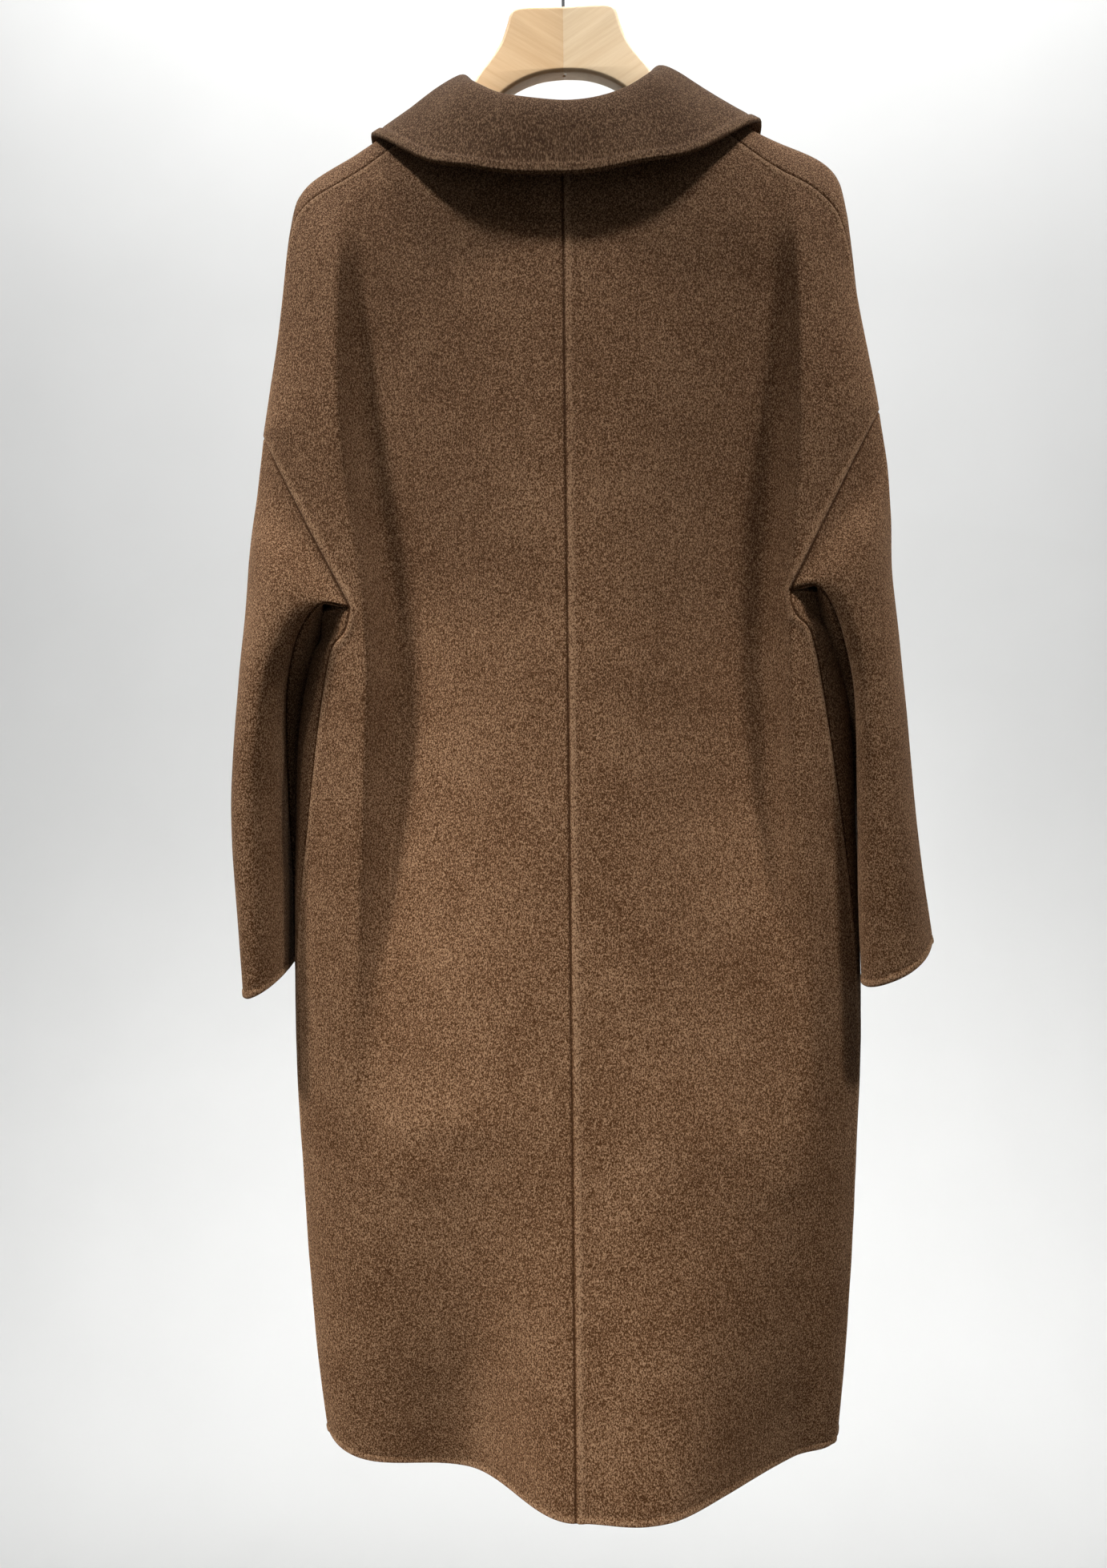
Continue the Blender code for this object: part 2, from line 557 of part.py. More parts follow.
def hanger_half(name, side, stem_cutter, collection, finish):
    """One wooden half: a flat outline with rounded edges, cut at the middle and bored for the stem."""
    top = smooth_line(HANGER_TOP_LINE, 26)
    under = smooth_line((HANGER_TOP_LINE[-1], HANGER_TIP) + HANGER_UNDER_LINE, 22)[1:]
    data = bpy.data.curves.new(name, "CURVE")
    data.dimensions = "2D"
    data.fill_mode = "BOTH"
    data.bevel_depth = HANGER_ROUND
    data.bevel_resolution = 1
    data.offset = -HANGER_ROUND
    data.extrude = HANGER_THICKNESS / 2 - HANGER_ROUND
    spline = data.splines.new("POLY")
    outline = np.vstack([top, under])
    spline.points.add(len(outline) - 1)
    for point, (x, z) in zip(spline.points, outline):
        point.co = (side * x, z, 0.0, 1.0)
    spline.use_cyclic_u = True
    flat = bpy.data.objects.new(name + "_outline", data)
    flat.rotation_euler = (math.pi / 2, 0.0, 0.0)
    collection.objects.link(flat)
    bpy.context.view_layer.update()
    matrix = flat.matrix_world.copy()
    mesh = meshed(flat)
    mesh.transform(matrix)
    bm = bmesh.new()
    bm.from_mesh(mesh)
    cut = bmesh.ops.bisect_plane(
        bm,
        geom=bm.verts[:] + bm.edges[:] + bm.faces[:],
        plane_co=(side * SEAM_GAP / 2, 0.0, 0.0),
        plane_no=(side, 0.0, 0.0),
        clear_inner=True,
    )
    edges = [item for item in cut["geom_cut"] if isinstance(item, bmesh.types.BMEdge)]
    bmesh.ops.edgeloop_fill(bm, edges=edges)
    bmesh.ops.recalc_face_normals(bm, faces=bm.faces)
    bm.to_mesh(mesh)
    bm.free()
    half = add_object(name, mesh, collection, finish)
    bore = half.modifiers.new("Stem hole", "BOOLEAN")
    bore.operation = "DIFFERENCE"
    bore.object = stem_cutter
    return half


def hook(name, collection, finish):
    """The steel hook: a straight stem through the wood and a loop whose inner top is the origin."""
    middle = np.array([0.0, 0.0, WIRE / 2 - HOOK_RADIUS])
    angles = np.linspace(HOOK_START, HOOK_END, 30)
    loop = [middle + HOOK_RADIUS * np.array([math.cos(a), 0.0, math.sin(a)]) for a in angles]
    foot = np.array([0.0, 0.0, HOOK_STEM_FOOT])
    top = np.array([0.0, 0.0, HOOK_STEM_TOP])
    lead = np.array([-math.sin(HOOK_START), 0.0, math.cos(HOOK_START)]) * HOOK_RADIUS * 0.3
    bend = bezier(top, top + np.array([0.0, 0.0, HOOK_RADIUS * 0.3]), loop[0] - lead, loop[0], 8)
    route = np.vstack([foot, bend, loop[1:]])
    data = bpy.data.curves.new(name, "CURVE")
    data.dimensions = "3D"
    data.bevel_depth = WIRE / 2
    data.bevel_resolution = 2
    data.use_fill_caps = True
    spline = data.splines.new("POLY")
    spline.points.add(len(route) - 1)
    for point, place in zip(spline.points, route):
        point.co = (*place, 1.0)
    made = bpy.data.objects.new(name, data)
    data.materials.append(finish)
    collection.objects.link(made)
    return made


def build():
    for old in list(bpy.data.objects):
        bpy.data.objects.remove(old)
    coat = bpy.data.collections.new("long_coat")
    cutters = bpy.data.collections.new("cutters")
    bpy.context.scene.collection.children.link(coat)
    bpy.context.scene.collection.children.link(cutters)

    grids = {"collar": collar()}
    for word, side in SIDES.items():
        grids["back_" + word] = panel(back_row, side, False)
        grids["front_" + word] = panel(front_row, side, True)
        grids["sleeve_%s_back" % word] = sleeve_half("back", side)
        grids["sleeve_%s_front" % word] = sleeve_half("front", side)
    offsets = wall_offsets(grids)
    for name, (rows, _) in grids.items():
        colour = COLLAR_BROWN if name == "collar" else WOOL_BROWN
        cloth_piece(name, rows, offsets[name], coat, material("wool_" + name, colour, WOOL_ROUGHNESS))

    bpy.ops.mesh.primitive_cylinder_add(vertices=16, radius=STEM_HOLE, depth=0.12, location=(0.0, 0.0, -0.10))
    stem_cutter = bpy.context.object
    stem_cutter.name = "stem_cutter"
    stem_cutter.hide_render = True
    stem_cutter.display_type = "WIRE"
    for owner in list(stem_cutter.users_collection):
        owner.objects.unlink(stem_cutter)
    cutters.objects.link(stem_cutter)
    for word, side in SIDES.items():
        wood = material("beech_" + word, BEECH, BEECH_ROUGHNESS)
        hanger_half("hanger_" + word, side, stem_cutter, coat, wood)
    hook("hanger_hook", coat, material("hook_steel", STEEL, STEEL_ROUGHNESS, 1.0))


build()
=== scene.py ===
# %% [markdown]
# # A long wool coat on a wooden hanger
# The coat hangs with its back to the camera. Thick double-faced wool is cut in panels, and each panel
# here is its own thin shell, with a groove where it is sewn to the next one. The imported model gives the
# frame, in metres, with the hook's seat at the origin, the back towards -Y and the wearer's right towards
# +X.

# %% Load the frame
import math

import bmesh
import bpy
import numpy as np
from mathutils import Matrix, Vector, kdtree, noise


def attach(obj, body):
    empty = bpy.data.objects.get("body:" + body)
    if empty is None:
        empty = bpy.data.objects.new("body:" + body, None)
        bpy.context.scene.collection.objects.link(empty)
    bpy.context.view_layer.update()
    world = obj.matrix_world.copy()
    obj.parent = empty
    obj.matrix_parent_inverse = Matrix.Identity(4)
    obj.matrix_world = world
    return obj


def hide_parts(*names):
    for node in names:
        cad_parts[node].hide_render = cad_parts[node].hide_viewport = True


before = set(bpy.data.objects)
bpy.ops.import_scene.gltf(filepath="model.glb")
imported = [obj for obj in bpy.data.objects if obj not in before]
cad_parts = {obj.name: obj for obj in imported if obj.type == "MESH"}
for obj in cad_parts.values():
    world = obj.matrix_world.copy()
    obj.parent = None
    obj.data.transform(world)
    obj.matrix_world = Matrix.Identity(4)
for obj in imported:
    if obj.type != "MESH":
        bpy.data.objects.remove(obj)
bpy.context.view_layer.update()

# %% [markdown]
# ## The camera
# The photograph was taken from about a metre away, a little below the middle of the coat's length. The
# lens was found from the lines of the hanger and the hem together, so the camera here only repeats those
# sizes.

# %% Camera
PHOTO_HIGH = 1958
LENS_PIXELS = 1708.0
CAMERA_AWAY = 1.10
CAMERA_Z = -0.697
CAMERA_YAW = math.radians(2.1)
CAMERA_PAN = math.radians(-0.81)
CAMERA_ROLL = math.radians(0.71)


def placed(name, data):
    """A new object in the scene with this mesh, curve, camera or lamp."""
    made = bpy.data.objects.new(name, data)
    bpy.context.scene.collection.objects.link(made)
    return made


camera = placed("photo_camera", bpy.data.cameras.new("photo_camera"))
camera.data.sensor_width = 36.0
camera.data.lens = LENS_PIXELS * camera.data.sensor_width / PHOTO_HIGH
camera.data.clip_start = 0.05
turn = Matrix.Rotation(CAMERA_YAW - CAMERA_PAN, 4, "Z") @ Matrix.Rotation(math.pi / 2, 4, "X")
place = Vector((CAMERA_AWAY * math.sin(CAMERA_YAW), -CAMERA_AWAY * math.cos(CAMERA_YAW), CAMERA_Z))
camera.matrix_world = Matrix.Translation(place) @ turn @ Matrix.Rotation(-CAMERA_ROLL, 4, "Z")
bpy.context.scene.camera = camera
print("lens", round(camera.data.lens, 1), "mm")

# %% [markdown]
# ## Smooth lines through a few sizes
# A tailor states a coat by a few measures and lets smooth lines join them. These helpers do the same: a
# curve through stated values, the length along a row of points, and the points at stated lengths.

# %% Lines and lengths
def curve(knots, values, at):
    """Smooth curve through values at rising knots, read at a number or an array."""
    knots = np.asarray(knots, float)
    values = np.asarray(values, float)
    slopes = np.gradient(values, knots, axis=0)
    at = np.clip(at, knots[0], knots[-1])
    i = np.clip(np.searchsorted(knots, at, side="right") - 1, 0, len(knots) - 2)
    step = knots[i + 1] - knots[i]
    f = (at - knots[i]) / step
    if values.ndim > 1 and np.ndim(at):
        f, step = f[:, None], step[:, None]
    start = (1 + 2 * f) * (1 - f) ** 2 * values[i] + f * (1 - f) ** 2 * step * slopes[i]
    return start + f * f * (3 - 2 * f) * values[i + 1] + f * f * (f - 1) * step * slopes[i + 1]


def arc_lengths(points):
    return np.concatenate([[0.0], np.cumsum(np.linalg.norm(np.diff(points, axis=0), axis=1))])


def points_at(points, lengths):
    along = arc_lengths(points)
    return np.column_stack([np.interp(lengths, along, points[:, k]) for k in range(3)])


def eased(value, low, high):
    """Smooth step from 0 at low to 1 at high."""
    f = np.clip((value - low) / (high - low), 0.0, 1.0)
    return f * f * (3 - 2 * f)


def hump(value, middle, half):
    """Smooth hump of height 1 at middle, down to 0 at half to each side."""
    return (1 + np.cos(math.pi * np.clip(np.abs(value - middle) / half, 0.0, 1.0))) / 2


# %% [markdown]
# ## The body's sizes
# The body is stated by levels from the neck down to the hem. Each gives the heights at the centre lines,
# how deep the coat is at back and front, how square the row's corner is, how far behind its crest the
# seam lies, and the crest itself. The crest is the outermost line of shoulder, upper arm and side.

# %% Body sizes
LEVEL_COLUMNS = (
    "back_z", "front_z", "back_depth", "front_depth", "squareness", "seam_back", "crest_x", "crest_z"
)
LEVELS = np.array(
    [
        (-0.200, -0.235, 0.050, 0.055, 2.4, 0.020, 0.0810, -0.1335),  # neck
        (-0.228, -0.262, 0.055, 0.058, 2.5, 0.029, 0.1250, -0.1580),  # under the collar
        (-0.258, -0.290, 0.060, 0.060, 2.6, 0.033, 0.1680, -0.1850),  # shoulder
        (-0.290, -0.318, 0.064, 0.062, 2.7, 0.030, 0.2095, -0.2115),  # end of the hanger
        (-0.322, -0.345, 0.067, 0.064, 2.8, 0.023, 0.2220, -0.2450),  # top of the arm
        (-0.360, -0.378, 0.070, 0.067, 2.8, 0.016, 0.2305, -0.3200),  # upper arm
        (-0.412, -0.412, 0.072, 0.070, 2.8, 0.012, 0.2448, -0.4110),  # top of the armhole
        (-0.556, -0.556, 0.076, 0.075, 2.6, 0.087, 0.2220, -0.5560),  # underarm
        (-0.595, -0.595, 0.078, 0.077, 2.5, 0.062, 0.2185, -0.5950),  # below the arm
        (-0.700, -0.700, 0.083, 0.082, 2.4, 0.047, 0.2230, -0.7000),  # waist
        (-0.870, -0.870, 0.092, 0.090, 2.3, 0.026, 0.2258, -0.8690),  # hip
        (-1.020, -1.020, 0.101, 0.097, 2.2, 0.022, 0.2198, -1.0180),  # thigh
        (-1.140, -1.136, 0.111, 0.102, 2.1, 0.022, 0.2118, -1.1340),  # knee
        (-1.228, -1.218, 0.120, 0.106, 2.0, 0.022, 0.2040, -1.2130),  # hem
    ]
)
ARMHOLE_TOP = 6
UNDERARM = 7
WAIST = 9
HEM = len(LEVELS) - 1
SIDE_IN = 0.020  # how much narrower the side is right under the arm, in front of the side seam
SIDE_IN_LEVELS = 1.8
SHOULDER_DROP = {-1: 0.001, 1: 0.005}  # how far each shoulder sinks beside the collar
SHOULDER_DROP_LEVEL = 1.4
SHOULDER_DROP_REACH = 1.4
HEM_LIFT = {-1: 0.012, 1: -0.003}  # rise of the hem at each side seam
HEM_LIFT_LEVELS = 2  # over so many levels above it
SEAM_LOWER = {-1: 0.003, 1: 0.016}  # how much further back each shoulder seam lies at the end of the hanger
SEAM_LOWER_LEVEL = 3.2
SEAM_LOWER_REACH = 2.4
SHOULDER_RISE = 1.4  # how late a row climbs from the centre line to the crest
ROW_POINTS = 320


def level(t):
    """The sizes of the body at level t, by name. The crest has a corner at the top of the armhole."""
    sizes = dict(zip(LEVEL_COLUMNS, curve(range(len(LEVELS)), LEVELS, t)))
    first, last = (0, ARMHOLE_TOP) if t <= ARMHOLE_TOP else (ARMHOLE_TOP, HEM)
    crest_x, crest_z = curve(range(first, last + 1), LEVELS[first : last + 1, -2:], t)
    first = 0 if t <= ARMHOLE_TOP else UNDERARM
    seam_back = curve(range(first, last + 1), LEVELS[first : last + 1, -3], t)
    return sizes | {"seam_back": seam_back, "crest_x": crest_x, "crest_z": crest_z}


print("back length", round(LEVELS[0, 0] - LEVELS[-1, 0], 3), "m")

# %% [markdown]
# ## The folds
# Heavy wool doesn't crumple: it hangs in a few long soft folds from the ends of the hanger, and the hem
# swings in and out below them. A simulation would find its own folds and not the photograph's, so each
# fold is placed as a trough along a line down the cloth, with a wide slope towards the centre and a steep
# one towards the arm.

# %% Folds
# Each fold: face, side, kind, width of its slope to the centre and to the arm, and its stations, each of them
# a height, a distance from the centre and a depth
FOLDS = (
    ("back", -1, "crisp", 0.140, 0.020, (
        (-0.22, 0.154, 0.000), (-0.31, 0.156, 0.020), (-0.45, 0.151, 0.037), (-0.57, 0.135, 0.042),
        (-0.70, 0.137, 0.034), (-0.83, 0.143, 0.018), (-0.99, 0.148, 0.000),
    )),
    ("back", 1, "crisp", 0.136, 0.020, (
        (-0.22, 0.158, 0.000), (-0.31, 0.159, 0.019), (-0.45, 0.156, 0.035), (-0.57, 0.149, 0.040),
        (-0.70, 0.150, 0.034), (-0.82, 0.156, 0.018), (-0.97, 0.160, 0.000),
    )),
    ("back", -1, "soft", 0.089, 0.125, ((-0.95, 0.087, 0.000), (-1.10, 0.088, 0.028), (-1.23, 0.089, 0.072))),
    ("back", 1, "soft", 0.100, 0.048, ((-1.00, 0.160, 0.000), (-1.13, 0.162, 0.014), (-1.23, 0.164, 0.038))),
    ("back", 1, "soft", 0.050, 0.060, (
        (-0.90, 0.050, 0.000), (-1.10, 0.050, -0.004), (-1.23, 0.052, -0.009),
    )),
    ("front", -1, "crisp", 0.090, 0.040, (
        (-0.27, 0.135, 0.000), (-0.40, 0.136, 0.018), (-0.56, 0.129, 0.028), (-0.72, 0.135, 0.016),
        (-0.90, 0.145, 0.000),
    )),
    ("front", 1, "crisp", 0.085, 0.040, (
        (-0.27, 0.135, 0.000), (-0.40, 0.135, 0.020), (-0.56, 0.127, 0.026), (-0.75, 0.135, 0.018),
        (-0.94, 0.145, 0.000),
    )),
    ("front", 1, "soft", 0.060, 0.070, ((-0.95, 0.120, 0.000), (-1.10, 0.122, 0.012), (-1.22, 0.126, 0.024))),
    ("front", -1, "soft", 0.060, 0.070, (
        (-0.98, 0.128, 0.000), (-1.10, 0.126, 0.009), (-1.22, 0.124, 0.018),
    )),
)
FOLD_STEEPNESS = 1.5  # a crisp fold is steepest where it ends at the arm
FOLD_SOFTNESS = 0.08


def fold_depth(face, side, x, z):
    """How far the folds on one side of a face dip at distance x from the centre and height z."""
    total = np.zeros_like(x)
    for fold_face, fold_side, kind, to_centre, to_arm, stations in FOLDS:
        if (fold_face, fold_side) != (face, side):
            continue
        heights, lines, depths = np.array(stations[::-1]).T
        off = x - curve(heights, lines, z)
        depth = np.clip(curve(heights, depths, z), depths.min(), depths.max())
        if kind == "crisp":
            steep = 1 - np.abs(off / to_arm) ** FOLD_STEEPNESS
            outer = np.minimum((steep + np.sqrt(steep**2 + FOLD_SOFTNESS**2)) / 2, 1.0)
        else:
            outer = hump(off, 0.0, to_arm)
        total += depth * np.where(off < 0, hump(off, 0.0, to_centre), outer)
    return total


print("folds:", len(FOLDS))

# %% [markdown]
# ## Rows round the body
# Each row runs from the centre back, round the shoulder or side, to the centre front. A rounded-square
# quarter gives the plan of the row, and it climbs from the centre to the crest at the same time, which
# makes the sloping shoulder.

# %% Rows of the body
def quarter(crest_x, depth, squareness, centre_z, end_z, end_depth=0.0):
    """A row from the centre line to the crest, or to where its depth has fallen to end_depth."""
    angle = np.linspace(0.0, math.acos((end_depth / depth) ** (squareness / 2)), ROW_POINTS)
    x = crest_x * np.sin(angle) ** (2 / squareness)
    y = depth * np.maximum(np.cos(angle), 0.0) ** (2 / squareness)
    rise = np.sin(math.pi / 2 * (1 - y / depth) ** SHOULDER_RISE)
    return np.column_stack([x, y, centre_z + (end_z - centre_z) * rise / rise[-1]])


def left_over(share, squareness):
    """The share of a rounded square's depth that is left at a share of its width, or the other way round."""
    return (1 - share**squareness) ** (1 / squareness)


def virtual_crest(x, y, depth, squareness):
    """The crest of a row that passes through x at depth y."""
    return x / left_over(abs(y) / depth, squareness)


def crest_height(t, side):
    sunk = 1 - eased(abs(t - SHOULDER_DROP_LEVEL), 0.0, SHOULDER_DROP_REACH)
    lifted = HEM_LIFT[side] * eased(t, HEM - HEM_LIFT_LEVELS, HEM)
    return level(t)["crest_z"] + lifted - SHOULDER_DROP[side] * sunk


def whole_row(t, side):
    """The row at level t from centre back over the crest to centre front, and the crest's length along it."""
    s = level(t)
    crest_z = crest_height(t, side)
    back = quarter(s["crest_x"], s["back_depth"], s["squareness"], s["back_z"], crest_z)
    back[:, 1] *= -1
    front = quarter(s["crest_x"], s["front_depth"], s["squareness"], s["front_z"], crest_z)
    back[:, 1] += fold_depth("back", side, back[:, 0], back[:, 2])
    front[:, 1] -= fold_depth("front", side, front[:, 0], front[:, 2])
    return np.vstack([back, front[::-1][1:]]), arc_lengths(back)[-1]


def seam_length(t, side):
    """How far along the row the seam between back and front lies."""
    crest = whole_row(t, side)[1]
    return crest - level(t)["seam_back"] - SEAM_LOWER[side] * hump(t, SEAM_LOWER_LEVEL, SEAM_LOWER_REACH)


def seam_point(t, side):
    return points_at(whole_row(t, side)[0], [seam_length(t, side)])[0]


print("row at the waist:", round(2 * arc_lengths(whole_row(WAIST, 1)[0])[-1], 3), "m round")

# %% [markdown]
# ## The sleeves' rings
# A dropped sleeve starts at a slanting armhole on the upper arm and turns into a flat tube that hangs by
# the side. Its rings are stated by an outer and an inner line and by the reach to back and front. The
# back of the armhole is then laid onto the folds of the back, and the top of its front onto the line of
# the arm, so that panel and sleeve run on smoothly. The two sleeves hang a little differently, as they do
# in the photograph.

# %% Sleeves
ARMHOLE_REACH = (0.030, 0.078)  # back and front reach of the armhole from the line of its seams
SLEEVE_RINGS = (  # out_x, out_z, in_x, in_z, to_back, to_front, left hang, right hang
    (0.2500, -0.4560, 0.1880, -0.5530, 0.020, 0.081, 0.000, 0.000),
    (0.2555, -0.4960, 0.2015, -0.5650, 0.027, 0.086, 0.000, -0.004),
    (0.2602, -0.5440, 0.2145, -0.5900, 0.035, 0.087, 0.000, -0.0085),
    (0.2655, -0.5980, 0.2255, -0.6300, 0.047, 0.081, 0.000, -0.0080),
    (0.2725, -0.6970, 0.2300, -0.7000, 0.060, 0.073, -0.001, -0.0060),
    (0.2755, -0.7750, 0.2312, -0.7760, 0.067, 0.068, -0.009, -0.0010),
    (0.2765, -0.8400, 0.2320, -0.8430, 0.067, 0.068, -0.014, 0.0070),
)
INNER_HANG = 0.25  # share of the hang on the inner line, which stays by the body
SLEEVE_OUT_Y = -0.006
SLEEVE_IN_Y = 0.004
SLEEVE_SETTLED = 4  # the ring where the outer line has reached its place
INNER_SETTLED = (2, 6)  # the inner line stays by the back as far as the first of these rings
SLEEVE_LEAN = {-1: 0.036, 1: 0.042}  # how far the front of the sleeve leans in towards the body
LEAN_RINGS = (0.6, 3.5)  # the rings between which the lean grows
ARMHOLE_BELLY = 0.022  # how far the front of the armhole swings out round the side, close to the underarm
BELLY_ANGLE = 2.50
BELLY_REACH = 0.75
ARMHOLE_FADE = 1.6  # the ring where the sleeve no longer follows the armhole's own line
LEAN_LOSS = 0.7  # share of the lean lost at the cuff
CUFF_LEAN = {-1: 0.000, 1: 0.013}  # how far the back of the cuff leans in towards the body
ARMHOLE_SQUARENESS = 1.6  # the armhole's seams run nearly straight
SLEEVE_SQUARENESS = 2.3
CUFF_DIP = {-1: 0.010, 1: 0.013}  # the cuff hangs lower on its back edge
SLEEVE_TWIST = {-1: math.radians(3), 1: math.radians(14)}  # turn of the cuff towards the back
CUFF_SLANT = {-1: -0.008, 1: 0.009}  # rise of the cuff's outer line over its inner line
CUFF = len(SLEEVE_RINGS)


def sleeve_rings(side):
    """Rings of one sleeve, the armhole first: outer point, inner point, reach to back and to front."""
    top = seam_point(ARMHOLE_TOP, side)
    under = seam_point(UNDERARM, side)
    rings = [(*top, *under, *ARMHOLE_REACH)]
    for number, (out_x, out_z, in_x, in_z, to_back, to_front, left, right) in enumerate(SLEEVE_RINGS, 1):
        settled = eased(number, 0, SLEEVE_SETTLED)
        out_y = top[1] + (SLEEVE_OUT_Y - top[1]) * settled
        in_y = under[1] + (SLEEVE_IN_Y - under[1]) * eased(number, *INNER_SETTLED)
        hang = right if side > 0 else left
        rings.append((out_x + hang, out_y, out_z, in_x + hang * INNER_HANG, in_y, in_z, to_back, to_front))
    return np.array(rings)


RINGS = {side: sleeve_rings(side) for side in (-1, 1)}
SHIFT_ANGLES = np.linspace(0.0, math.pi, 61)
armhole_shift = {side: np.zeros_like(SHIFT_ANGLES) for side in (-1, 1)}  # filled below
armhole_out = {side: np.zeros_like(SHIFT_ANGLES) for side in (-1, 1)}
OUT_ANGLES = (0.9, 1.9)  # the front of the armhole lies on the arm's own line up to these angles


def sleeve_ring(station, angles, side):
    """Points round the sleeve: angle 0 is the outer seam, pi the underarm, positive angles the back."""
    ring = curve(range(CUFF + 1), RINGS[side], station)
    outer, inner, (to_back, to_front) = ring[:3], ring[3:6], ring[6:]
    c, s = np.cos(angles), np.sin(angles)
    low = eased(station, 0.0, CUFF)
    power = 2 / (ARMHOLE_SQUARENESS + (SLEEVE_SQUARENESS - ARMHOLE_SQUARENESS) * low)
    along = np.sign(c) * np.abs(c) ** power
    across = np.abs(s) ** power
    off = (outer - inner) / 2 * along[:, None]
    off[:, 1] += np.where(s > 0, -to_back, to_front) * across
    turn = SLEEVE_TWIST[side] * low
    turned = np.column_stack(
        [
            off[:, 0] * math.cos(turn) + off[:, 1] * math.sin(turn),
            off[:, 1] * math.cos(turn) - off[:, 0] * math.sin(turn),
            off[:, 2] + CUFF_SLANT[side] * along * low,
        ]
    )
    points = (outer + inner) / 2 + turned
    lean = SLEEVE_LEAN[side] * eased(station, *LEAN_RINGS) * (1 - LEAN_LOSS * low)
    points[:, 0] -= lean * np.sqrt(np.maximum(-s, 0.0)) * (1 - c) / 2
    points[:, 0] -= CUFF_LEAN[side] * low * np.maximum(s, 0.0) * (1 - c) / 2
    near = 1 - eased(station, 0.0, ARMHOLE_FADE)
    points[:, 0] += near * ARMHOLE_BELLY * hump(np.abs(angles), BELLY_ANGLE, BELLY_REACH) * (s < 0)
    points[:, 0] += near * np.interp(-angles, SHIFT_ANGLES, armhole_out[side]) * (s < 0)
    points[:, 1] += near * np.interp(angles, SHIFT_ANGLES, armhole_shift[side]) * (s > 0)
    points[:, 2] -= CUFF_DIP[side] * low * np.maximum(s, 0.0)
    return points


def armhole_point(angle, side):
    return sleeve_ring(0.0, np.array([angle]), side)[0]


def lying_depth(t, x, z):
    """How deep the back is where the armhole's seam lies on it, and the crest of its row there."""
    s = level(t)
    heights = LEVELS[[UNDERARM, ARMHOLE_TOP], -1]
    crest_x = np.interp(z, heights, LEVELS[[UNDERARM, ARMHOLE_TOP], -2])
    return s["back_depth"] * left_over(x / crest_x, s["squareness"]), crest_x


def arm_line(y, z):
    """How far out the arm's side reaches at depth y and height z."""
    s = level(ARMHOLE_TOP)
    top, low = (s["crest_x"], s["crest_z"]), SLEEVE_RINGS[0][:2]
    crest_x = top[0] + (low[0] - top[0]) * (z - top[1]) / (low[1] - top[1])
    depth = s["front_depth"] if y > 0 else s["back_depth"]
    return crest_x * left_over(abs(y) / depth, s["squareness"])


for side in (-1, 1):
    shift, out = [], []
    for angle in SHIFT_ANGLES:
        x, y, z = armhole_point(-angle, side)
        out.append(max(arm_line(y, z) - x, 0.0) * (1 - eased(angle, *OUT_ANGLES)))
        x, y, z = armhole_point(angle, side)
        depth, _ = lying_depth(ARMHOLE_TOP + angle / math.pi, x, z)
        shift.append(fold_depth("back", side, np.array([x]), np.array([z]))[0] - depth - y)
    armhole_shift[side] = np.array(shift)
    armhole_out[side] = np.array(out)
print("the armhole moves onto the back by up to", round(1000 * max(abs(armhole_shift[1])), 1), "mm")
print("cuff round:", round(arc_lengths(sleeve_ring(CUFF, np.linspace(0, 2 * math.pi, 200), 1))[-1], 3), "m")

# %% [markdown]
# ## Backs and fronts
# The back half ends at the shoulder seam, then at the armhole, then at the side seam. The front half
# starts there, wraps over the shoulder and ends in a free edge past the centre front, where the right one
# laps over the left.

# %% Rows of the panels
OVERLAP = 0.030  # reach of each front edge past the centre line
LAP_POINTS = 12
UNDER_DEPTH = 0.007  # how far the lower front lies behind the upper one
UNDER_FROM = 0.090  # where the lower front starts to step back, from the centre line
UNDER_TO = 0.045
UNDER_ROUND = 6.75  # the level from which the rows under the arm take the width of the side


def side_crest(t):
    """How wide the body is in front of the side seam."""
    return level(t)["crest_x"] - SIDE_IN * hump(t, UNDERARM, SIDE_IN_LEVELS)


SIDE_DEPTH = {}  # depth of the side's rounding at the underarm
for side in (-1, 1):
    x, y, _ = seam_point(UNDERARM, side)
    SIDE_DEPTH[side] = -y / left_over(x / side_crest(UNDERARM), level(UNDERARM)["squareness"])


def back_row(t, side):
    if not ARMHOLE_TOP < t < UNDERARM:
        row, _ = whole_row(t, side)
        return points_at(row, np.linspace(0.0, seam_length(t, side), ROW_POINTS))
    s = level(t)
    depth, squareness = s["back_depth"], s["squareness"]
    x, _, z = armhole_point(math.pi * (t - ARMHOLE_TOP), side)
    end_depth, crest_x = lying_depth(t, x, z)
    row = quarter(crest_x, depth, squareness, s["back_z"], z, end_depth)
    row[:, 1] *= -1
    row[:, 1] += fold_depth("back", side, row[:, 0], row[:, 2])
    return row


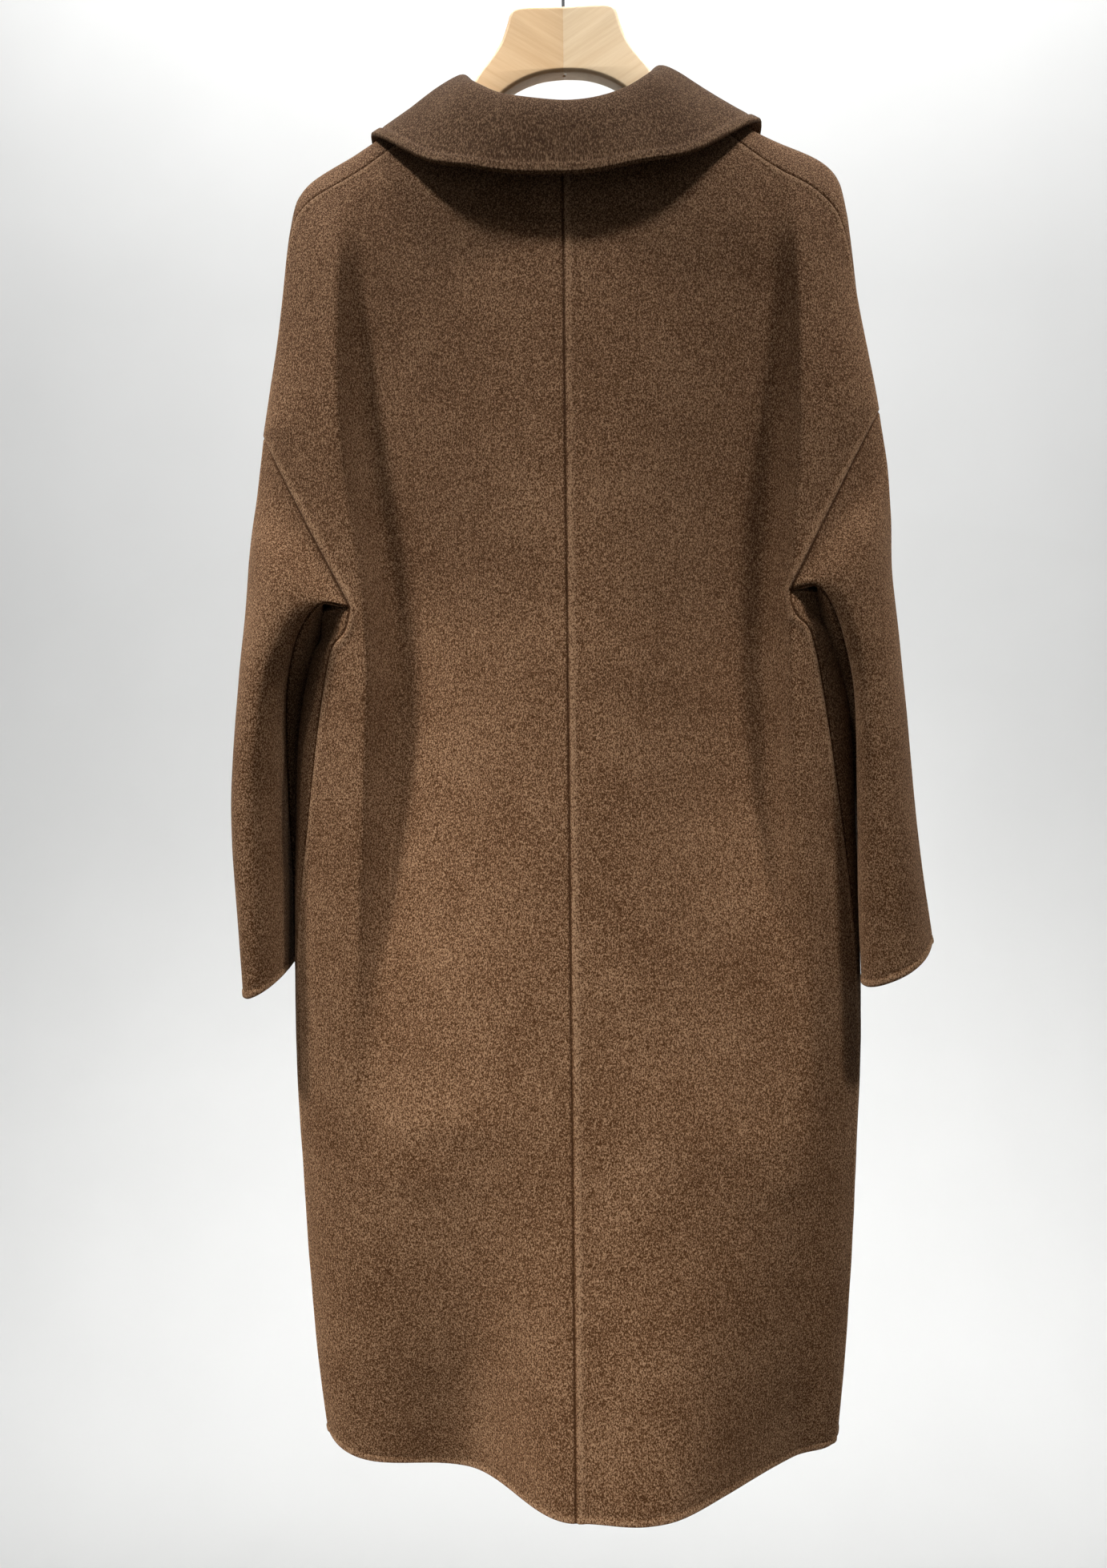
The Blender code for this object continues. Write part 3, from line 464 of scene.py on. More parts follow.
def front_row(t, side):
    s = level(t)
    depth, squareness = s["front_depth"], s["squareness"]
    if t <= ARMHOLE_TOP:
        row, _ = whole_row(t, side)
        row = points_at(row, np.linspace(seam_length(t, side), arc_lengths(row)[-1], 2 * ROW_POINTS))
    else:
        if t < UNDERARM:
            x, y, z = armhole_point(-math.pi * (t - ARMHOLE_TOP), side)
            rear_depth = s["back_depth"] + (SIDE_DEPTH[side] - s["back_depth"]) * (t - ARMHOLE_TOP)
            crest_x, crest_z = virtual_crest(x, y, rear_depth if y < 0 else depth, squareness), z
            crest_x += (side_crest(UNDERARM) - crest_x) * eased(t, UNDER_ROUND, UNDERARM) * (y < 0)
        else:
            x, y, z = seam_point(t, side)
            crest_x, crest_z = side_crest(t), crest_height(t, side)
        if y < 0:
            side_depth = -y / left_over(x / crest_x, squareness)
            behind = quarter(crest_x, side_depth, squareness, z, crest_z)
            behind[:, 1] *= -1
            front = quarter(crest_x, depth, squareness, s["front_z"], crest_z)[::-1]
            row = np.vstack([behind[behind[:, 1] > y], front[1:]])
            row[0] = (x, y, z)
        else:
            row = quarter(crest_x, depth, squareness, s["front_z"], z, y)[::-1]
        row[:, 1] -= fold_depth("front", side, row[:, 0], row[:, 2]) * (row[:, 1] > 0)
    past = np.linspace(0.0, OVERLAP, LAP_POINTS)[1:]
    reach = np.column_stack([-past, np.full_like(past, row[-1, 1]), np.full_like(past, row[-1, 2])])
    row = np.vstack([row, reach])
    if side < 0:
        row[:, 1] -= UNDER_DEPTH * eased(row[:, 0], UNDER_FROM, UNDER_TO) * (row[:, 1] > 0)
    return row


print("back half at the hem:", round(arc_lengths(back_row(HEM, 1))[-1], 3), "m wide")

# %% [markdown]
# ## Grids of cloth
# Every piece of cloth is a grid of points on its outer face. The points lie close together along the
# edges, where the seams and the rolled edges need them, and evenly in between. The coat also leans a
# little, because one shoulder sits higher on the hanger.

# %% Spacing of the grids
SEAM_GAP = 0.00006  # space left between two sewn edges
EDGE_STEPS = np.array([0.0, 0.4, 0.9, 1.5, 2.2, 3.0, 4.0, 5.2, 6.4, 7.8, 10.0]) / 1000
PANEL_COLUMNS = 60
SLEEVE_COLUMNS = 34
RING_POINTS = 600
TILT_TOP = math.radians(0.05)
TILT_LOW = math.radians(1.2)
TILT_TOP_Z = -0.18
TILT_LOW_Z = -0.50
SIDES = {"left": -1, "right": 1}


def spaced(total, count, start_gap=SEAM_GAP / 2, end_gap=SEAM_GAP / 2):
    """Lengths along a row of cloth, close together by both edges and even between them."""
    first = start_gap + EDGE_STEPS
    last = total - end_gap - EDGE_STEPS[::-1]
    return np.concatenate([first, np.linspace(first[-1], last[0], count)[1:-1], last])


def tilted(points):
    """The points after the coat has settled a little to one side."""
    weight = eased(-points[..., 2], -TILT_TOP_Z, -TILT_LOW_Z)
    out = points.copy()
    out[..., 2] += points[..., 0] * np.tan(TILT_TOP + (TILT_LOW - TILT_TOP) * weight)
    return out


def mirrored(points, side):
    return points * np.array([side, 1.0, 1.0])


def armhole_angles(face, side):
    """Angles round half the armhole, which the panel and the sleeve share."""
    turn = 1 if face == "back" else -1
    angles = np.linspace(0.0, math.pi, RING_POINTS)
    along = arc_lengths(sleeve_ring(0.0, turn * angles, side))
    inside = spaced(along[-1], SLEEVE_COLUMNS)[1:-1]
    return np.concatenate([[0.0], np.interp(inside, along, angles), [math.pi]])


print("columns of a panel:", len(spaced(0.3, PANEL_COLUMNS)))

# %% [markdown]
# The panels' rows follow the levels, with extra ones at the armhole, so that panel and sleeve meet point
# to point, and close to the hem. The sleeves' rows follow their rings, close together by the armhole and
# the cuff.

# %% Grids of panels and sleeves
TOP_ROWS = 72
LOW_ROWS = 150
HEM_RISE = 0.085  # height of the coat for the last level
SLEEVE_ROWS = 100
ARMHOLE_RISE = 0.030  # length of the sleeve for its first ring
CUFF_RISE = 0.066  # and for its last one
EVEN_FROM = 1.5  # the ring from which the sleeve's columns are evenly spaced


def panel_grid(face, side):
    """The outer face of a back or front half, and whether its rows run the other way round."""
    row_at = back_row if face == "back" else front_row
    levels = np.concatenate(
        [
            np.linspace(0.0, ARMHOLE_TOP, TOP_ROWS)[:-1],
            ARMHOLE_TOP + armhole_angles(face, side) / math.pi,
            np.linspace(UNDERARM, HEM - EDGE_STEPS[-1] / HEM_RISE, LOW_ROWS)[1:-1],
            HEM - EDGE_STEPS[::-1] / HEM_RISE,
        ]
    )
    end_gap = SEAM_GAP / 2 if face == "back" else 0.0
    rows = []
    for t in levels:
        row = row_at(t, side)
        rows.append(points_at(row, spaced(arc_lengths(row)[-1], PANEL_COLUMNS, end_gap=end_gap)))
    return tilted(mirrored(np.array(rows), side)), side > 0


def sleeve_grid(face, side):
    """The outer face of a sleeve's back or front piece, from the armhole to the cuff."""
    turn = 1 if face == "back" else -1
    shared = armhole_angles(face, side)
    first, last = EDGE_STEPS / ARMHOLE_RISE, CUFF - EDGE_STEPS[::-1] / CUFF_RISE
    stations = np.concatenate([first, np.linspace(first[-1], last[0], SLEEVE_ROWS)[1:-1], last])
    rows = []
    angles = np.linspace(0.0, math.pi, RING_POINTS)
    for station in stations:
        ring = sleeve_ring(station, turn * angles, side)
        along = arc_lengths(ring)
        by_angle = np.interp(shared, angles, along)
        by_length = spaced(along[-1], SLEEVE_COLUMNS)
        lengths = by_angle + (by_length - by_angle) * eased(station, 0.0, EVEN_FROM)
        lengths = np.clip(lengths, SEAM_GAP / 2, along[-1] - SEAM_GAP / 2)
        row = points_at(ring, lengths)
        if station == 0.0:
            row = sleeve_ring(0.0, turn * shared, side)
            below = sleeve_ring(stations[1], turn * shared, side) - row
            row = row + below / np.linalg.norm(below, axis=1)[:, None] * SEAM_GAP
            row[0], row[-1] = points_at(row, [SEAM_GAP / 2, arc_lengths(row)[-1] - SEAM_GAP / 2])
        rows.append(row)
    return tilted(mirrored(np.array(rows), side)), (side > 0) != (face == "back")


grids = {}
for word, side in SIDES.items():
    for face in ("back", "front"):
        grids["%s_%s" % (face, word)] = panel_grid(face, side)
        grids["sleeve_%s_%s" % (word, face)] = sleeve_grid(face, side)
print({name: grid[0].shape[:2] for name, grid in grids.items()})

# %% [markdown]
# ## The collar
# The wide collar is one piece: a stand that rises from the neckline, a soft roll, and a deep fall that
# lies on the shoulders. It is made from sections round the neck. Each one is a pair of smooth curves that
# meet at the roll.

# %% Collar
# Each station: part of the half neckline, the roll, the free edge, fullness, and how far the roll is moved
# out on the left and on the right
COLLAR_STATIONS = (
    (0.000, (0.0000, -0.0480, -0.1720), (0.0000, -0.0800, -0.2405), 1.0, 0.000, 0.000),
    (0.200, (0.0450, -0.0415, -0.1620), (0.0600, -0.0775, -0.2345), 1.0, 0.001, -0.001),
    (0.330, (0.0690, -0.0240, -0.1400), (0.1085, -0.0610, -0.2165), 0.85, 0.002, -0.002),
    (0.410, (0.0790, -0.0080, -0.1260), (0.1470, -0.0245, -0.1820), 0.48, 0.002, -0.0025),
    (0.470, (0.0805, 0.0060, -0.1240), (0.1580, 0.0040, -0.1690), 0.45, 0.002, -0.0025),
    (0.600, (0.0720, 0.0290, -0.1420), (0.1440, 0.0480, -0.2080), 0.6, 0.001, -0.002),
    (0.780, (0.0460, 0.0480, -0.1800), (0.1050, 0.0690, -0.2640), 1.0, 0.000, 0.000),
    (0.970, (0.0090, 0.0560, -0.2080), (0.0420, 0.0715, -0.3200), 1.0, 0.000, 0.000),
)
CLOTH = 0.0025
COLLAR_ROLL = 0.018  # reach of the rounded fold at the top of the collar
COLLAR_BULGE = 0.006  # how far the fall swells outwards
COLLAR_SWELL = 0.45  # where along the fall it swells, from the free edge
STAND_STRAIGHT = 0.6  # share of the stand that rises straight
STAND_ROUND = 0.6  # reach of the roll on the inner side, as a share of its outer reach
STAND_ROUND_MOST = 0.45  # and at most this share of the stand's height
COLLAR_STAND_ROWS = 18
COLLAR_FALL_ROWS = 30
COLLAR_COLUMNS = 90


def bezier(a, b, c, d, count):
    f = np.linspace(0.0, 1.0, count)[:, None]
    return (1 - f) ** 3 * a + 3 * f * (1 - f) ** 2 * b + 3 * f * f * (1 - f) * c + f**3 * d


def neckline(side):
    """The line inside half of the body's top edge where the collar is sewn, from back to front."""
    row, _ = whole_row(0.0, side)
    outward = np.column_stack([row[:, 0], row[:, 1], np.zeros(len(row))])
    return row - outward / np.linalg.norm(outward, axis=1)[:, None] * (2 * CLOTH + SEAM_GAP)


def collar_section(part, side):
    """The collar's section at a part of the half neckline: up the stand, over the roll and down the fall."""
    line = neckline(side)
    neck = points_at(line, [part * arc_lengths(line)[-1]])[0]
    parts = [station[0] for station in COLLAR_STATIONS]
    stations = np.array([(*roll, *edge, *rest) for _, roll, edge, *rest in COLLAR_STATIONS])
    held = [-parts[1]] + parts
    values = np.vstack([stations[1] * np.array([-1, 1, 1, -1, 1, 1, 1, 1, 1]), stations])
    point = curve(held, values, part)
    roll, edge, full = point[:3], point[3:6], point[6]
    roll = roll + np.array([point[8] if side > 0 else point[7], 0.0, 0.0])
    out = np.array([edge[0] - neck[0], edge[1] - neck[1], 0.0])
    out /= np.linalg.norm(out)
    up = np.array([0.0, 0.0, roll[2] - neck[2]])
    neck = neck + np.array([0.0, 0.0, SEAM_GAP])
    reach = min(COLLAR_ROLL * STAND_ROUND, up[2] * STAND_ROUND_MOST)
    stand = bezier(neck, neck + up * STAND_STRAIGHT, roll - out * reach, roll, 80)
    swell = edge + (roll - edge) * COLLAR_SWELL + out * COLLAR_BULGE * (2 * full - 1)
    fall = bezier(roll, roll + out * COLLAR_ROLL * full, swell, edge, 160)
    rise = np.linspace(0.0, arc_lengths(stand)[-1], COLLAR_STAND_ROWS)[:-1]
    width = arc_lengths(fall)[-1]
    even = np.linspace(0.0, width - EDGE_STEPS[-1], COLLAR_FALL_ROWS)[:-1]
    drop = np.concatenate([even, width - EDGE_STEPS[::-1]])
    return np.vstack([points_at(stand, rise), points_at(fall, drop)])


def collar_grid():
    """The upper face of the collar, from its left front end round the back to the right one."""
    end = COLLAR_STATIONS[-1][0]
    neck_length = arc_lengths(neckline(1))[-1]
    even = np.linspace(0.0, end - EDGE_STEPS[-1] / neck_length, COLLAR_COLUMNS)[:-1]
    parts = np.concatenate([even, end - EDGE_STEPS[::-1] / neck_length])
    halves = {}
    for side in (-1, 1):
        halves[side] = mirrored(np.array([collar_section(part, side) for part in parts]), side)
    return tilted(np.concatenate([halves[-1][::-1], halves[1][1:]])), False


grids["collar"] = collar_grid()
print("collar:", grids["collar"][0].shape[:2])

# %% [markdown]
# ## Which way is out
# A shell needs a direction at every point. Where two pieces are sewn together they share it, so that
# their walls meet in a mitre, and it turns back to each piece's own direction over the next few
# millimetres.

# %% Directions out of the cloth
MEETING = 0.0012  # edge points closer than this belong to one seam
SHARED_WIDTH = 0.008


def own_directions(rows, flip):
    out = np.cross(np.gradient(rows, axis=1), np.gradient(rows, axis=0))
    out /= np.linalg.norm(out, axis=2)[..., None]
    return -out if flip else out


def edge_lines(rows):
    """Where the four edges are in a grid: first and last column, first and last row."""
    count, columns = rows.shape[:2]
    down, across = np.arange(count), np.arange(columns)
    return {
        "start": (down, np.zeros_like(down)),
        "end": (down, np.full_like(down, columns - 1)),
        "top": (np.zeros_like(across), across),
        "bottom": (np.full_like(across, count - 1), across),
    }


def away_from(rows, line):
    """The distance of every point of a grid from a line of points, such as a seam."""
    fine = points_at(line, np.linspace(0.0, arc_lengths(line)[-1], 1500))
    fine = np.vstack([fine, line])
    tree = kdtree.KDTree(len(fine))
    for number, point in enumerate(fine):
        tree.insert(point, number)
    tree.balance()
    return np.array([tree.find(point)[2] for point in rows.reshape(-1, 3)]).reshape(rows.shape[:2])


own = {name: own_directions(*grid) for name, grid in grids.items()}
away = {}
for name, (rows, _) in grids.items():
    away[name] = {word: away_from(rows, rows[line]) for word, line in edge_lines(rows).items()}

joined = kdtree.KDTree(sum(2 * sum(rows.shape[:2]) for rows, _ in grids.values()))
edge_directions = []
for name, (rows, _) in grids.items():
    for line in edge_lines(rows).values():
        for point, direction in zip(rows[line], own[name][line]):
            joined.insert(point, len(edge_directions))
            edge_directions.append(direction)
joined.balance()
edge_directions = np.array(edge_directions)

outward = {}
for name, (rows, _) in grids.items():
    out = own[name].copy()
    for word, line in edge_lines(rows).items():
        shared = []
        for point in rows[line]:
            near = [number for _, number, _ in joined.find_range(point, MEETING)]
            total = edge_directions[near].sum(axis=0)
            shared.append(total / np.linalg.norm(total))
        shared = np.array(shared)
        shared = shared[:, None] if word in ("start", "end") else shared[None]
        weight = (1 - eased(away[name][word], 0.0, SHARED_WIDTH))[..., None]
        out = out * (1 - weight) + shared * weight
    outward[name] = out / np.linalg.norm(out, axis=2)[..., None]
print("points in all:", sum(rows.shape[0] * rows.shape[1] for rows, _ in grids.values()))

# %% [markdown]
# ## Seams and edges in relief
# Double-faced wool is sewn without a lining: one edge is turned in and felled down, so each seam is a
# fine groove with a raised band about six millimetres wide on one side, and each free edge is a soft
# rolled rib with a groove above it. The seams' grooves are painted darker, as painted shade, and the
# rubbed bands and ribs a little lighter.

# %% Relief
GROOVE_DEEP = 0.0010
GROOVE_WIDE = 0.0020
SEAM_GROOVE_SHADE = 2.2  # painted shade: how much darker a seam groove is than a rubbed band is lighter
SEAM_GROOVE_SHADE_WIDE = 0.0016
BAND_WIDE = 0.0062
BAND_HIGH = 0.0008
BAND_START = (0.0006, 0.0022)  # where the band climbs beside the groove
BAND_SOFT = 0.0014  # how softly it ends
RIBS = {  # width, height and wear of the rolled rib at a free edge
    "back": (0.0050, 0.0006, 1.0), "front": (0.0050, 0.0006, 1.0), "sleeve": (0.0050, 0.0006, 1.0),
    "collar": (0.0085, 0.0011, 0.3),
}
RIB_SOFT = 0.0012
RIB_END = 0.0010
RIB_GROOVE = 0.0005
RIB_GROOVE_WIDE = 0.0016
ROUND_MOST = 0.98  # share of the half thickness that a free edge is rounded by
BANDED = {  # seams with a raised band, by piece and edge
    "back_right": ("start", "end"), "back_left": ("end",),
    "sleeve_left_back": ("start",), "sleeve_right_back": ("start",),
}
FREE = {  # edges that are sewn to nothing
    "back": ("bottom",), "front": ("bottom", "end"), "sleeve": ("bottom",),
    "collar": ("end", "top", "bottom"),
}
UNEVEN = ((0.090, 0.0007), (0.028, 0.00025))  # soft unevenness of hung cloth: size and height
DENTED = (0.050, 0.0022, 0.08, 0.13)  # the collar's dents: size, height and where they fade sideways


def band(distance):
    return eased(distance, *BAND_START) * (1 - eased(distance, BAND_WIDE - BAND_SOFT, BAND_WIDE + BAND_SOFT))


def unevenness(rows):
    flat = [Vector(point) for point in rows.reshape(-1, 3)]
    total = sum(high * np.array([noise.noise(point / size) for point in flat]) for size, high in UNEVEN)
    return total.reshape(rows.shape[:2])


def dents(rows):
    size, high, start, end = DENTED
    waves = [noise.noise(Vector(point) / size) for point in rows.reshape(-1, 3)]
    return high * np.array(waves).reshape(rows.shape[:2]) * (1 - eased(np.abs(rows[..., 0]), start, end))


relief, waves, wear_and_groove_shade, rounding = {}, {}, {}, {}
for name, (rows, _) in grids.items():
    kind = name.split("_")[0]
    free = FREE[kind]
    rib_wide, rib_high, rib_wear = RIBS[kind]
    waves[name] = unevenness(rows) + (dents(rows) if kind == "collar" else 0.0)
    high, rubbed, groove_shade = np.zeros((3, *rows.shape[:2]))
    for word, distance in away[name].items():
        if word in free:
            end = rib_wide + RIB_END
            rib = eased(distance, 0.0, RIB_SOFT) * (1 - eased(distance, rib_wide - RIB_SOFT, end))
            high += rib_high * rib - RIB_GROOVE * hump(distance, end, RIB_GROOVE_WIDE)
            rubbed = np.maximum(rubbed, rib * rib_wear)
        else:
            high -= GROOVE_DEEP * (1 - eased(distance, 0.0, GROOVE_WIDE))
            # painted shade: the cloth is painted darker in each seam groove, where shade falls
            groove_shade = np.maximum(groove_shade, 1 - eased(distance, 0.0, SEAM_GROOVE_SHADE_WIDE))
            if word in BANDED.get(name, ()):
                high += BAND_HIGH * band(distance)
                rubbed = np.maximum(rubbed, band(distance))
    # the lighter wear of ribs and bands, less the painted shade of the seam grooves
    relief[name], wear_and_groove_shade[name] = high, rubbed - SEAM_GROOVE_SHADE * groove_shade
    nearest = np.min([away[name][word] for word in free], axis=0)
    radius = CLOTH / 2
    inside = np.clip(radius - nearest, 0.0, radius * ROUND_MOST)
    rounding[name] = radius - np.sqrt(radius**2 - inside**2)
print("relief from", round(min(h.min() for h in relief.values()) * 1000, 2), "to",
      round(max(h.max() for h in relief.values()) * 1000, 2), "mm")

# %% [markdown]
# ## From grids to shells
# Each grid becomes a closed shell: the outer face with its relief, an inner face one cloth thickness
# inside, and a rim round the edge. At free edges both faces curve in to meet, as a felled edge does. How
# rubbed each point is, less the painted shade of the seam grooves, goes along as an attribute for the colour.

# %% Shells
def cloth_shell(name, outer, inner, rubbed, flip):
    """A closed shell of cloth between an outer and an inner grid."""
    count, columns = outer.shape[:2]
    total = count * columns
    number = np.arange(total).reshape(count, columns)
    faces = np.stack([number[:-1, :-1], number[:-1, 1:], number[1:, 1:], number[1:, :-1]], -1).reshape(-1, 4)
    rim = np.concatenate([number[0], number[1:, -1], number[-1, -2::-1], number[-2:0:-1, 0]])
    after = np.roll(rim, -1)
    walls = np.column_stack([after, rim, rim + total, after + total])
    faces = np.vstack([faces, faces[:, ::-1] + total, walls])
    if flip:
        faces = faces[:, ::-1]
    mesh = bpy.data.meshes.new(name)
    mesh.from_pydata(np.vstack([outer.reshape(-1, 3), inner.reshape(-1, 3)]).tolist(), [], faces.tolist())
    mesh.shade_smooth()
    # the attribute carries rubbed wear and the painted shade of the seam grooves
    attribute = mesh.attributes.new("rubbed", "FLOAT", "POINT")
    attribute.data.foreach_set("value", np.concatenate([rubbed.ravel(), rubbed.ravel()]).astype(np.float32))
    return placed(name, mesh)


cloth = {}
for name, (rows, flip) in grids.items():
    out = outward[name]
    outer = rows + out * (waves[name] + relief[name] - rounding[name])[..., None]
    inner = rows + out * (waves[name] - CLOTH + rounding[name])[..., None]
    cloth[name] = cloth_shell(name + "_cloth", outer, inner, wear_and_groove_shade[name], flip)
print("shells:", {name: len(piece.data.polygons) for name, piece in cloth.items()})

# %% [markdown]
# ## The hanger
# Two flat pieces of beech with rounded edges meet at the middle, with the wire's stem between them. A
# flat curve with a bevel gives the rounded edges in one step. It is then cut at the middle and bored for
# the stem.

# %% Hanger halves
HANGER_THICKNESS = 0.017
HANGER_ROUND = 0.003
HANGER_TOP_LINE = (  # from the centre to the tip of the arm
    (-0.010, -0.0760), (0.0370, -0.0760), (0.0415, -0.0785), (0.0455, -0.0900), (0.0500, -0.1020),
    (0.0570, -0.1130), (0.0670, -0.1255), (0.0790, -0.1440), (0.0960, -0.1585), (0.1250, -0.1745),
    (0.1600, -0.1960), (0.1880, -0.2170),
)
HANGER_TIP = (0.1950, -0.2310)
HANGER_UNDER_LINE = (  # from the tip back to the centre
    (0.1820, -0.2370), (0.1480, -0.2170), (0.1050, -0.1910), (0.0700, -0.1630), (0.0420, -0.1390),
    (0.0200, -0.1300), (-0.010, -0.1275),
)
WIRE = 0.0026
STEM_HOLE = WIRE / 2 + SEAM_GAP


def smooth_line(points, count):
    points = np.asarray(points, float)
    steps = np.concatenate([[0.0], np.cumsum(np.sqrt(np.linalg.norm(np.diff(points, axis=0), axis=1)))])
    return curve(steps, points, np.linspace(0.0, steps[-1], count))


def as_mesh(made):
    """The mesh of an object with its curve or modifiers applied; the object itself is removed."""
    bpy.context.view_layer.update()
    seen = made.evaluated_get(bpy.context.evaluated_depsgraph_get())
    mesh = bpy.data.meshes.new_from_object(seen)
    mesh.transform(made.matrix_world)
    bpy.data.objects.remove(made)
    return mesh


def poly_curve(name, dimensions, points):
    """Curve data through points in straight steps."""
    data = bpy.data.curves.new(name, "CURVE")
    data.dimensions = dimensions
    spline = data.splines.new("POLY")
    spline.points.add(len(points) - 1)
    for point, spot in zip(spline.points, points):
        point.co = (*spot, 1.0)
    return data


def hanger_half(name, side):
    outline = np.vstack(
        [
            smooth_line(HANGER_TOP_LINE, 90),
            smooth_line((HANGER_TOP_LINE[-1], HANGER_TIP) + HANGER_UNDER_LINE, 80)[1:],
        ]
    )
    data = poly_curve(name, "2D", [(side * x, z, 0.0) for x, z in outline])
    data.splines[0].use_cyclic_u = True
    data.fill_mode = "BOTH"
    data.bevel_depth = HANGER_ROUND
    data.bevel_resolution = 4
    data.offset = -HANGER_ROUND
    data.extrude = HANGER_THICKNESS / 2 - HANGER_ROUND
    flat = placed(name + "_outline", data)
    flat.rotation_euler = (math.pi / 2, 0.0, 0.0)
    mesh = as_mesh(flat)
    bm = bmesh.new()
    bm.from_mesh(mesh)
    bmesh.ops.remove_doubles(bm, verts=bm.verts, dist=1e-6)
    cut = bmesh.ops.bisect_plane(
        bm, geom=bm.verts[:] + bm.edges[:] + bm.faces[:], plane_co=(side * SEAM_GAP / 2, 0.0, 0.0),
        plane_no=(side, 0.0, 0.0), clear_inner=True,
    )
    edges = [item for item in cut["geom_cut"] if isinstance(item, bmesh.types.BMEdge)]
    bmesh.ops.edgeloop_fill(bm, edges=edges)
    bmesh.ops.recalc_face_normals(bm, faces=bm.faces)
    bm.to_mesh(mesh)
    bm.free()
    return placed(name, mesh)


bpy.ops.mesh.primitive_cylinder_add(vertices=24, radius=STEM_HOLE, depth=0.12, location=(0.0, 0.0, -0.10))
stem_cutter = bpy.context.object
wood = {}
for word, side in SIDES.items():
    uncut = hanger_half("hanger_" + word + "_uncut", side)
    bore = uncut.modifiers.new("Stem hole", "BOOLEAN")
    bore.object = stem_cutter
    mesh = as_mesh(uncut)
    mesh.shade_smooth()
    mesh.set_sharp_from_angle(angle=math.radians(35))
    wood[word] = placed("hanger_%s_wood" % word, mesh)
bpy.data.objects.remove(stem_cutter)
print("hanger halves:", {word: len(piece.data.polygons) for word, piece in wood.items()})

# %% [markdown]
# ## The hook and its pin
# The hook is one bent wire: a straight stem through the wood and a round loop above. A small pin below
# the joint keeps the stem in place.

# %% Hook and pin
HOOK_RADIUS = 0.020  # of the wire's centre line around the rail
HOOK_START = math.radians(-50)
HOOK_END = math.radians(205)
HOOK_STEM_TOP = -0.052
HOOK_STEM_FOOT = -0.1270
HOOK_LEAD = HOOK_RADIUS * 0.3  # how softly the stem bends into the loop
PIN_RADIUS = 0.0011
PIN_FLATNESS = 0.5
PIN_PLACE = (0.0012, -0.003, -0.1277)

middle = np.array([0.0, 0.0, WIRE / 2 - HOOK_RADIUS])
angles = np.linspace(HOOK_START, HOOK_END, 60)
loop = np.array([middle + HOOK_RADIUS * np.array([math.cos(a), 0.0, math.sin(a)]) for a in angles])
stem_top = np.array([0.0, 0.0, HOOK_STEM_TOP])
lead = np.array([-math.sin(HOOK_START), 0.0, math.cos(HOOK_START)]) * HOOK_LEAD
bend = bezier(stem_top, stem_top + np.array([0.0, 0.0, HOOK_LEAD]), loop[0] - lead, loop[0], 16)
route = np.vstack([[0.0, 0.0, HOOK_STEM_FOOT], bend, loop[1:]])
data = poly_curve("hook_wire", "3D", route)
data.bevel_depth = WIRE / 2
data.bevel_resolution = 4
data.use_fill_caps = True
hook = placed("hook_wire", as_mesh(placed("hook_line", data)))
hook.data.shade_smooth()

bm = bmesh.new()
bmesh.ops.create_uvsphere(bm, u_segments=16, v_segments=8, radius=PIN_RADIUS)
bmesh.ops.scale(bm, vec=(1.0, 1.0, PIN_FLATNESS), verts=bm.verts)
bmesh.ops.translate(bm, vec=PIN_PLACE, verts=bm.verts)
pin_mesh = bpy.data.meshes.new("hanger_pin")
bm.to_mesh(pin_mesh)
bm.free()
pin_mesh.shade_smooth()
pin = placed("hanger_pin", pin_mesh)
print("wire length:", round(arc_lengths(route)[-1], 3), "m")

# %% [markdown]
# ## Writing shader maths
# A finish is a small net of nodes. This class wraps one socket, so that sums and products read as Python,
# and makes any other node from its type, its settings and the values or links of its sockets.

# %% Sockets as values
class Wired:
    """A socket of a material's nodes that can be used in sums."""

    def __init__(self, tree, socket=None):
        self.tree = tree
        self.socket = socket

    def node(self, kind, settings=None, values=None, out=0):
        """Adds a node: its settings first, then the values or links of its sockets."""
        made = self.tree.nodes.new(kind)
        for key, value in (settings or {}).items():
            if key == "stops":
                ramp = made.color_ramp
                while len(ramp.elements) < len(value):
                    ramp.elements.new(0.5)
                for element, (position, colour) in zip(ramp.elements, value):
                    element.position = position
                    element.color = colour
            else:
                setattr(made, key, value)
        for key, value in (values or {}).items():
            if isinstance(value, Wired):
                self.tree.links.new(value.socket, made.inputs[key])
            else:
                made.inputs[key].default_value = value
        return Wired(self.tree, made.outputs[out])

    def maths(self, operation, first, second):
        return self.node("ShaderNodeMath", {"operation": operation}, {0: first, 1: second})

    def __add__(self, other):
        return self.maths("ADD", self, other)

    def __radd__(self, other):
        return self.maths("ADD", other, self)

    def __mul__(self, other):
        return self.maths("MULTIPLY", self, other)

    def __rmul__(self, other):
        return self.maths("MULTIPLY", other, self)


def finish_called(name):
    """A new material: its node tree to build in, and its shader."""
    made = bpy.data.materials.new(name)
    made.use_nodes = True
    return made, Wired(made.node_tree), made.node_tree.nodes["Principled BSDF"]


def fixed(shader, values):
    """Sets the shader's own sockets to values that are the same all over."""
    for key, value in values.items():
        shader.inputs[key].default_value = value


def mixed(factor, first, second):
    """A colour between two colours, or a colour and a link."""
    return factor.node(
        "ShaderNodeMix", {"data_type": "RGBA"}, {"Factor": factor, 6: first, 7: second}, out=2
    )


print("shader helpers ready")
